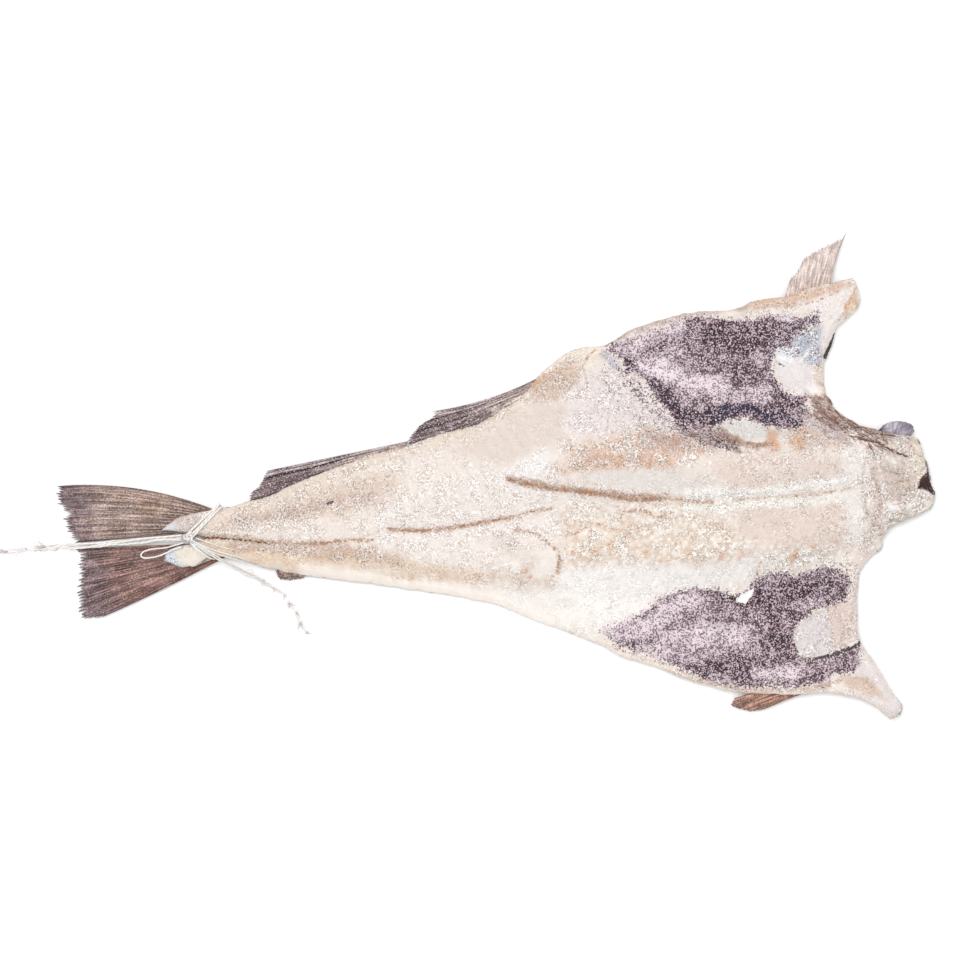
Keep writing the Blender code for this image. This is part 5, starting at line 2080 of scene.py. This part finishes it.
FINS = (
    Fin(
        "tail_upper_lobe", "226,530 226,522 228,516",
        "74,543 66,536 62.5,530 59.5,521 58.5,517.5 63,514 57,509 54,503 52.5,497 53,491 56,486",
        levels=(4.0, 2.8), thicknesses=(1.6, 0.9), tones=TAIL_TONES, rays=13, seed=3,
        notch=(2.4, 8.6), bow=(0.0, -9.0),
        columns=220, rows=72,
        patches=(
            (146, 509, 16, (180, 148, 128)),
            (178, 524, 9, (162, 122, 106)),
            (110, 533, 12, (148, 124, 116)),
        ),
    ),
    Fin(
        "tail_lower_lobe", "236,551 233,546 229,542",
        "101,617.5 90,620 77,620 74.5,611 74,598 74,575 74,549",
        levels=(3.9, 2.6), thicknesses=(1.6, 0.9), tones=LOWER_TAIL_TONES, rays=15, seed=5,
        notch=(2.6, 8.0), bow=(1.5, 0.0),
        columns=260, rows=72,
        patches=(
            (150, 590, 13, (148, 112, 104)),
            (180, 576, 9, (138, 104, 98)),
            (130, 560, 10, (124, 100, 96)),
        ),
    ),
    Fin(
        "rear_anal_fin", "405,447 408,441",
        "252,508 247,502 249,494 255,487 261,479 265,471",
        levels=(3.6, 3.0), thicknesses=(2.0, 1.2), tones=ANAL_TONES, rays=8, seed=7,
        notch=(1.0, 4.6), bow=(3.0, 0.0),
        lay=Lay.FOLDED, look=FinLook.SALTED, columns=96, rows=110, wave=0.2,
    ),
    Fin(
        "front_anal_fin", "546,386 541,376",
        "412,449 405,441 412,431 420,424 430,418 432,411",
        levels=(3.8, 3.0), thicknesses=(2.0, 1.2), tones=ANAL_TONES, rays=8, seed=9,
        notch=(1.0, 4.6), bow=(8.0, 4.0),
        lay=Lay.FOLDED, look=FinLook.SALTED, columns=96, rows=100, wave=0.2,
    ),
    Fin(
        "upper_pectoral_fin", "828,297 804,303 778,309",
        "848,231 836,240 826,244 817,248.5 810,252 804,259 798,269 792,276 788,288",
        levels=(9.0, 5.0), thicknesses=(2.4, 0.9), tones=UPPER_PECTORAL_TONES, rays=12, seed=11,
        notch=(0.5, 4.2), bow=(2.0, -1.0),
        look=FinLook.PALE, columns=240, rows=72,
    ),
    Fin(
        "lower_pectoral_fin", "803,677 808,685 815,690",
        "735,699 731,706 740,710 752,712.5 765,710 778,704",
        levels=(6.0, 3.4), thicknesses=(2.4, 0.9), tones=LOWER_PECTORAL_TONES, rays=8, seed=13,
        notch=(0.2, 1.6), columns=80, rows=44,
    ),
    Fin(
        "back_fin_tip", "308,565 291,562 280,560",
        "307,577 300,580 290,581.5 279,580.5 275,573",
        levels=(3.0, 2.4), thicknesses=(2.0, 1.0), tones=BACK_FIN_TONES, rays=8, seed=15,
        notch=(0.3, 1.6), columns=80, rows=24,
    ),
    Fin(
        "neck_skin_flap", "905,445 893,445 880,442",
        "915,431 914,425.5 908,422 898,420.5 885,424 877,432",
        levels=(4.0, 8.0), thicknesses=(2.4, 1.2), tones=NECK_TONES, rays=5, seed=17,
        notch=(0.1, 0.7), look=FinLook.PALE,
        columns=96, rows=32, ray_height=0.1,
        # A painted highlight at the flap's top left, and darker patches at its lower left and its
        # right.
        patches=(
            (892, 425, 7, (206, 202, 216)),
            (880, 431, 5, (84, 78, 90)),
            (908, 427, 5, (140, 128, 148)),
        ),
    ),
    Fin(
        "collar_skin_sliver", "824,358 822,345 830,332",
        "827,359 832.5,345 836,333",
        levels=(8.0, 6.5), thicknesses=(1.6, 0.8), tones=SLIVER_TONES, rays=3, seed=19,
        notch=(0.0, 0.4), columns=40, rows=12, ray_height=0.08, wave=0.0,
    ),
)


# Twine


@dataclass
class Yarn:
    """A twisted yarn: a tube with two plies wound round each other."""

    pitch: float = 6.0
    sides: int = 12
    depth: float = 0.22

    def along(
        self, path: Array, radius: Array | float, start: float = 0.0, closed: bool = False
    ) -> tuple[Form, Array]:
        """The yarn on a path.

        Formula: its radius is r (1 - depth + depth |cos(side angle - twist)|^0.8), where the twist
        grows by a turn each pitch.

        Args:
            path: the points of its middle, in millimetres.
            radius: the radius at each point.
            start: the twist at its first point.
            closed: whether it is a ring.
        Returns:
            Points and faces, and how deep each point lies in a crease.
        """
        run = run_along(path)
        turns = run / self.pitch
        if closed:
            turns = run / run[-1] * round(run[-1] / self.pitch) * (1 - 1 / len(path))
        angle = np.linspace(0.0, math.tau, self.sides, endpoint=False)
        lobe = np.abs(np.cos(angle[None, :] - math.pi * turns[:, None] - start))
        reach = np.broadcast_to(radius, len(path))[:, None]
        reach = reach * (1 - self.depth + self.depth * lobe**0.8)
        return tube(path, reach, self.sides, closed), (1 - lobe).ravel()


def yarn_piece(
    name: str, made: Sequence[tuple[Form, Array]], finish: Material, node: str
) -> bpy.types.Object:
    """Yarns as one piece.

    Args:
        name: its name.
        made: the yarns.
        finish: its material.
        node: the CAD node that it stands for.
    Returns:
        The piece, whose points hold how deep in a crease they lie.
    """
    held = {"crease": np.concatenate([deep for _, deep in made])}
    return piece(name, several([form for form, _ in made]), finish, [node], held)


def thin_piece(
    name: str, forms: Sequence[Form], finish: Material, crease: float
) -> bpy.types.Object:
    """Strands or fibres as one piece.

    Args:
        name: its name.
        forms: their points and faces.
        finish: its material.
        crease: how deep in a crease all their points lie.
    Returns:
        The piece.
    """
    form = several(forms)
    return piece(name, form, finish, (), {"crease": np.full(len(form[0]), crease)})


@dataclass
class TwineCord:
    """A free end of twine: yarns side by side that part and grow thin towards its end."""

    name: str
    route: Points
    diameter: float
    far_end: str
    seed: int
    yarns: int = 1
    radius: float = 0.74
    out: float = 0.0
    turns: float = 0.6
    part_from: float = 1.0
    step: float = 0.8
    thinning: float = 0.62
    parting: float = 0.2
    floor_gap: float = 0.15
    waves: int = 4
    pitch: float = 5.5

    def build(self, finish: Material) -> bpy.types.Object:
        """Makes the cord.

        Formula: a yarn's middle is path + out (cos b N + sin b B), where b grows slowly along the
        way with a few waves, and out grows as the yarns part.

        Args:
            finish: its material.
        Returns:
            The cord.
        """
        self.path = path = smooth_route(self.route, self.step)
        draw = np.random.default_rng(self.seed)
        share = np.linspace(0.0, 1.0, len(path))
        parted = smoothstep(self.part_from, self.part_from + 0.25, share)
        radius = self.radius * (1 - self.thinning * parted)
        ahead = np.gradient(path, axis=0)
        side = np.cross(ahead, (0.0, 0.0, 1.0))
        side /= np.linalg.norm(side, axis=1, keepdims=True)
        up = np.cross(side, ahead)
        up /= np.linalg.norm(up, axis=1, keepdims=True)
        out = (self.out * (1 + self.parting * parted))[:, None]
        made = []
        for k in range(self.yarns):
            waves = sum(
                draw.uniform(-0.5, 0.5)
                * np.sin(math.tau * (n + 1) * share + draw.uniform(0, math.tau))
                for n in range(self.waves)
            )
            angle = (math.tau * (k / self.yarns + self.turns * share) + waves)[:, None]
            middle = path + out * (np.cos(angle) * side + np.sin(angle) * up)
            middle[:, 2] = np.maximum(middle[:, 2], radius + self.floor_gap)
            made.append(Yarn(self.pitch).along(middle, radius, 2.1 * k))
        return yarn_piece(f"{self.name}_yarns", made, finish, self.name)


@dataclass
class Strand:
    """A single thin strand that lies on the flesh along a line of the photo, from a height."""

    line: str
    start_height: float
    radius: float = 0.5
    sides: int = 8
    ease: int = 4

    def build(self, fish: SplitFish) -> Form:
        """The strand's tube, eased over small dips.

        Args:
            fish: what it lies on.
        Returns:
            Its points and faces.
        """
        plan = smooth_route(in_place(self.line), 1.0)
        under = fish.height_at(plan)
        span = 2 * self.ease + 1
        eased = np.convolve(np.pad(under, self.ease, "edge"), np.ones(span) / span, "valid")
        share = np.linspace(0.0, 1.0, len(plan))
        height = np.maximum(under, eased) + self.radius
        height = height + (self.start_height - height[0]) * (1 - share) ** 3
        return tube(np.column_stack([plan, height]), self.radius * (1 - 0.5 * share**2), self.sides)


@dataclass
class Fibres:
    """Loose fibres that curl away from a frayed end."""

    name: str
    starts: Points
    heading: tuple[float, float]
    count: int
    lengths: tuple[float, float]
    spread: float
    curl: float
    seed: int
    radius: float = 0.13
    floor: float = 0.35
    furthest: float = -402.0
    steps: int = 13
    sides: int = 4

    def build(self, finish: Material) -> bpy.types.Object:
        """Makes the fibres.

        Formula: a fibre starts near one of the given points and turns on its way by a steady curl
        and a wave, sinking to the floor.

        Args:
            finish: their material.
        Returns:
            The piece of all fibres.
        """
        draw = np.random.default_rng(self.seed)
        starts = np.array(self.starts, float)
        s = np.linspace(0.0, 1.0, self.steps + 1)
        made = []
        for _ in range(self.count):
            begin = starts[draw.integers(len(starts))] + draw.normal(0, 0.5, 3) * (1, 1, 0.3)
            step = draw.uniform(*self.lengths) / self.steps
            heading = math.atan2(self.heading[1], self.heading[0]) + draw.normal(0, self.spread)
            curl = draw.normal(0, self.curl) * s
            angle = heading + curl + 0.5 * np.sin(draw.uniform(4, 10) * s + draw.uniform(0, 6))
            x = begin[0] + np.concatenate([[0], np.cumsum(np.cos(angle[:-1]) * step)])
            y = begin[1] + np.concatenate([[0], np.cumsum(np.sin(angle[:-1]) * step)])
            fall = (1 - s) ** 2 + draw.uniform(0, 0.12) * np.sin(math.pi * s)
            z = self.floor + (begin[2] - self.floor) * fall + draw.uniform(0, 0.8) * s
            x = np.maximum(x, self.furthest + 0.3 * (x - self.furthest))
            path = np.column_stack([x, y, z])
            made.append(tube(path, self.radius * (1 - 0.6 * s), self.sides))
        return thin_piece(self.name, made, finish, 0.45)


@dataclass
class TwineTie:
    """The turns of twine round the upper half of the tail, and the knot."""

    centre: tuple[float, float] = (-232.9, -36.9)
    heading: float = math.radians(46)
    half_length: float = 18.5
    low: float = 0.9
    high: float = 14.9
    square: float = 0.45
    strands: int = 3
    strand_radius: float = 0.9
    spacing: float = 1.9
    pitch: float = 4.6
    knot_centre: tuple[float, float, float] = (-245.0, -49.4, 13.6)
    knot_radii: tuple[float, float, float] = (5.2, 4.4, 3.4)
    knot_loops: Points = ((1.0, 0.4, 0.0), (0.72, 1.5, 1.0))

    def turn(self, aside: float, lean: float) -> Array:
        """One turn round the tail, a rounded oblong loop.

        Formula: (sign cos u |cos u|^square, sign sin u |sin u|^square), scaled to the loop's half
        length and half height and set upright across the tail.

        Args:
            aside: how far it is moved along the tail.
            lean: how far its ends lean.
        Returns:
            The places of its middle, evenly apart.
        """
        u = np.linspace(0.0, math.tau, 141)[:-1]
        out = np.sign(np.cos(u)) * np.abs(np.cos(u)) ** self.square * (self.half_length - 1.0)
        middle, half = (self.low + self.high) / 2, (self.high - self.low) / 2 - 0.8
        up = np.sign(np.sin(u)) * np.abs(np.sin(u)) ** self.square * half
        along = np.array((math.cos(self.heading), math.sin(self.heading)))
        across = np.array((-along[1], along[0]))
        shift = aside + lean * out / self.half_length + 0.25 * np.sin(3 * u + aside)
        plan = np.array(self.centre) + out[:, None] * along + shift[:, None] * across
        path = np.column_stack([plan, up + middle])
        run = run_along(path)
        at = np.linspace(0, run[-1], 120)
        return np.column_stack([np.interp(at, run, path[:, k]) for k in range(3)])

    def knot(self, size: float, tilt: float) -> Array:
        """A loop of the knot.

        Formula: (sin u + 2 sin 2u, cos u - 2 cos 2u, -3 sin 3u) / 3, scaled to the knot's radii.

        Args:
            size: its size as a share of the knot's.
            tilt: the angle that it is turned by.
        Returns:
            The places of its middle.
        """
        u = np.linspace(0.0, math.tau, 97)[:-1]
        wide, deep = np.sin(u) + 2 * np.sin(2 * u), np.cos(u) - 2 * np.cos(2 * u)
        shape = np.column_stack([wide, deep, -3.0 * np.sin(3 * u)])
        shape = shape / 3.0 * (np.array(self.knot_radii) - self.strand_radius) * size
        cos, sin = math.cos(tilt), math.sin(tilt)
        shape = shape @ np.array(((cos, sin, 0.0), (-sin, cos, 0.0), (0.0, 0.0, 1.0)))
        return shape + self.knot_centre

    def build(self, finish: Material) -> bpy.types.Object:
        """Makes the tie.

        Args:
            finish: its material.
        Returns:
            The tie.
        """
        yarn, thick = Yarn(self.pitch), self.strand_radius
        first = -(self.strands - 1) / 2 * self.spacing
        made = []
        for k in range(self.strands):
            path = self.turn(first + k * self.spacing, 0.5 * math.sin(2.4 * k))
            made.append(yarn.along(path, thick, k, True))
        for size, tilt, twist in self.knot_loops:
            made.append(yarn.along(self.knot(size, tilt), thick, twist, True))
        return yarn_piece("tail_tie", made, finish, "twine_tie")


LONG_END = TwineCord(
    "twine_end_long",
    (
        (-250.8, -50.0, 12.6), (-257, -50.5, 10.6), (-265, -51.2, 9.2), (-276, -52.0, 8.0),
        (-292, -53.3, 7.3), (-310, -55.0, 6.9), (-326, -56.4, 6.7), (-338, -57.2, 6.5),
        (-350, -57.4, 4.8), (-362, -58.0, 3.4), (-376, -59.8, 2.8), (-392, -61.4, 2.7),
    ),
    5.2, "bare", 401, yarns=4, radius=0.85, out=1.72, part_from=0.6,
)
SHORT_END = TwineCord(
    "twine_end_short",
    (
        (-242.4, -53.9, 13.8), (-239.0, -55.5, 14.2), (-234.0, -58.6, 14.6), (-228.0, -62.4, 14.6),
        (-221.0, -67.2, 13.4), (-214.5, -71.4, 9.6), (-207.0, -75.4, 4.8), (-197.0, -80.6, 2.2),
        (-187.0, -85.4, 1.8), (-178.0, -91.0, 1.8), (-170.0, -97.0, 1.8), (-165.0, -103.5, 1.8),
        (-160.0, -111.0, 1.8), (-157.0, -119.5, 1.8), (-151.6, -126.4, 1.8),
    ),
    3.4, "bare", 402, yarns=4, radius=0.5, out=1.2, part_from=0.5,
)
LOOP = TwineCord(
    "twine_loop",
    (
        (-249.6, -54.2, 12.4), (-256.0, -56.0, 10.2), (-264.0, -58.2, 6.9), (-275.0, -59.4, 6.1),
        (-282.0, -61.4, 5.9), (-284.4, -64.2, 5.8), (-281.6, -66.6, 5.9), (-274.0, -65.8, 6.2),
        (-266.0, -63.4, 7.6), (-257.0, -59.4, 10.8), (-251.0, -57.4, 12.8),
    ),
    1.6, "object", 403, step=0.6,
)
STRANDS = (
    Strand("192,540 203,545.5 217,551 232,555 246,559", 14.0),
    Strand("193,541 206,548.5 220,555 236,559.5 252,565", 13.6),
    Strand("191,543 199,550 209,557.5 224,563 240,570", 13.0, 0.6),
    Strand("196,538 209,542.5 224,547.5 236,550", 14.0, 0.45),
    Strand("190,542 196,549 204,556 214,561 226,565", 12.5, 0.45),
)


@dataclass
class Twine:
    """All of the twine: the tie, its three free ends and their loose strands and fibres."""

    fish: SplitFish

    def build(self, finish: Material, fuzz: Material) -> None:
        """Makes each piece.

        Args:
            finish: the twine's material.
            fuzz: the material of its loose fibres.
        """
        TwineTie().build(finish)
        long_end, short_end, loop = (cord.build(finish) for cord in (LONG_END, SHORT_END, LOOP))
        forms = [strand.build(self.fish) for strand in STRANDS]
        strands = thin_piece("short_end_strands", forms, finish, 0.3)
        long_fibres = Fibres(
            "long_end_fibres", LONG_END.route[7:], (-1.0, -0.12), 46, (8, 26), 0.3, 0.7, 411
        )
        short_fibres = Fibres(
            "short_end_fibres", SHORT_END.route[7:], (0.5, -0.8), 80, (4, 12), 1.0, 4.5, 412
        )
        long_fibres.build(fuzz)
        short_fibres.build(fuzz)


# Studio


@dataclass
class Studio:
    """A plain pale floor, soft light from above and the photo's camera, in metres."""

    centre: tuple[float, float] = (-0.0044, -0.012)
    view_width: float = 0.784
    camera_height: float = 2.5
    object_level: float = 0.012
    sensor: float = 36.0
    furthest_seen: float = 50.0
    floor_size: float = 8.0
    floor_level: float = -0.0004
    world_strength: float = 0.95
    key_power: float = 27.5
    key_place: tuple[float, float, float] = (-0.35, 0.5, 2.5)
    key_size: float = 1.1

    def build(self, effects: Effects) -> None:
        """Sets up the studio.

        Args:
            effects: the shared effects.
        """
        self._camera()
        self._floor(FloorFinish("floor", 0.9, 0.0).build(effects))
        world = bpy.data.worlds.new("studio")
        world.use_nodes = True
        background = world.node_tree.nodes["Background"].inputs
        background["Color"].default_value = (1.0, 1.0, 1.0, 1.0)
        background["Strength"].default_value = self.world_strength
        bpy.context.scene.world = world
        self._key()
        bpy.context.scene.view_settings.view_transform = "Standard"

    def _camera(self) -> None:
        """The camera, straight above the object."""
        camera = bpy.data.cameras.new("camera")
        camera.sensor_width = self.sensor
        camera.lens = self.sensor * (self.camera_height - self.object_level) / self.view_width
        camera.clip_end = self.furthest_seen
        seat = placed("camera", camera)
        seat.location = (*self.centre, self.camera_height)
        bpy.context.scene.camera = seat

    def _floor(self, finish: Material) -> None:
        """The floor, a square.

        Args:
            finish: its material.
        """
        half = self.floor_size / 2
        signs = ((-1, -1), (1, -1), (1, 1), (-1, 1))
        mesh = bpy.data.meshes.new("floor")
        corners = [(a * half, b * half, self.floor_level) for a, b in signs]
        mesh.from_pydata(corners, [], [(0, 1, 2, 3)])
        mesh.materials.append(finish)
        placed("floor", mesh)

    def _key(self) -> None:
        """The key light, a square that faces the origin."""
        light = bpy.data.lights.new("key", "AREA")
        light.energy = self.key_power
        light.shape = "SQUARE"
        light.size = self.key_size
        key = placed("key", light)
        key.location = self.key_place
        x, y, z = self.key_place
        turn = math.atan2(y, x) + math.pi / 2
        key.rotation_euler = (math.atan2(math.hypot(x, y), z), 0.0, turn)


def main() -> None:
    """Builds the dressed part, piece by piece."""
    logging.basicConfig(level=logging.INFO, format="%(message)s")
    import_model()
    effects = Effects()
    Studio().build(effects)
    twine = TwineFinish("twine", 0.85, 0.25).build(effects)
    # The fibres' second tone is the painted shade of the twine's creases, which lies thinly over
    # all of them.
    fibres = TwineFinish("twine_fibres", 0.85, 0.1, (222, 206, 210), (170, 148, 156))
    fish = SplitFish()
    fish.shape()
    Twine(fish).build(twine, fibres.build(effects))
    flesh = FleshFinish("salted_flesh", 0.68, 0.35).build(effects)
    skin = SkinFinish("skin", 0.5, 0.25).build(effects)
    salt = SaltFinish("salt", 0.4, 0.1).build(effects)
    fish.build(flesh, skin, salt)
    finishes = {look: look.value.build(effects) for look in FinLook}
    for fin in FINS:
        fin.build(finishes[fin.look])


if __name__ == "__main__":
    main()
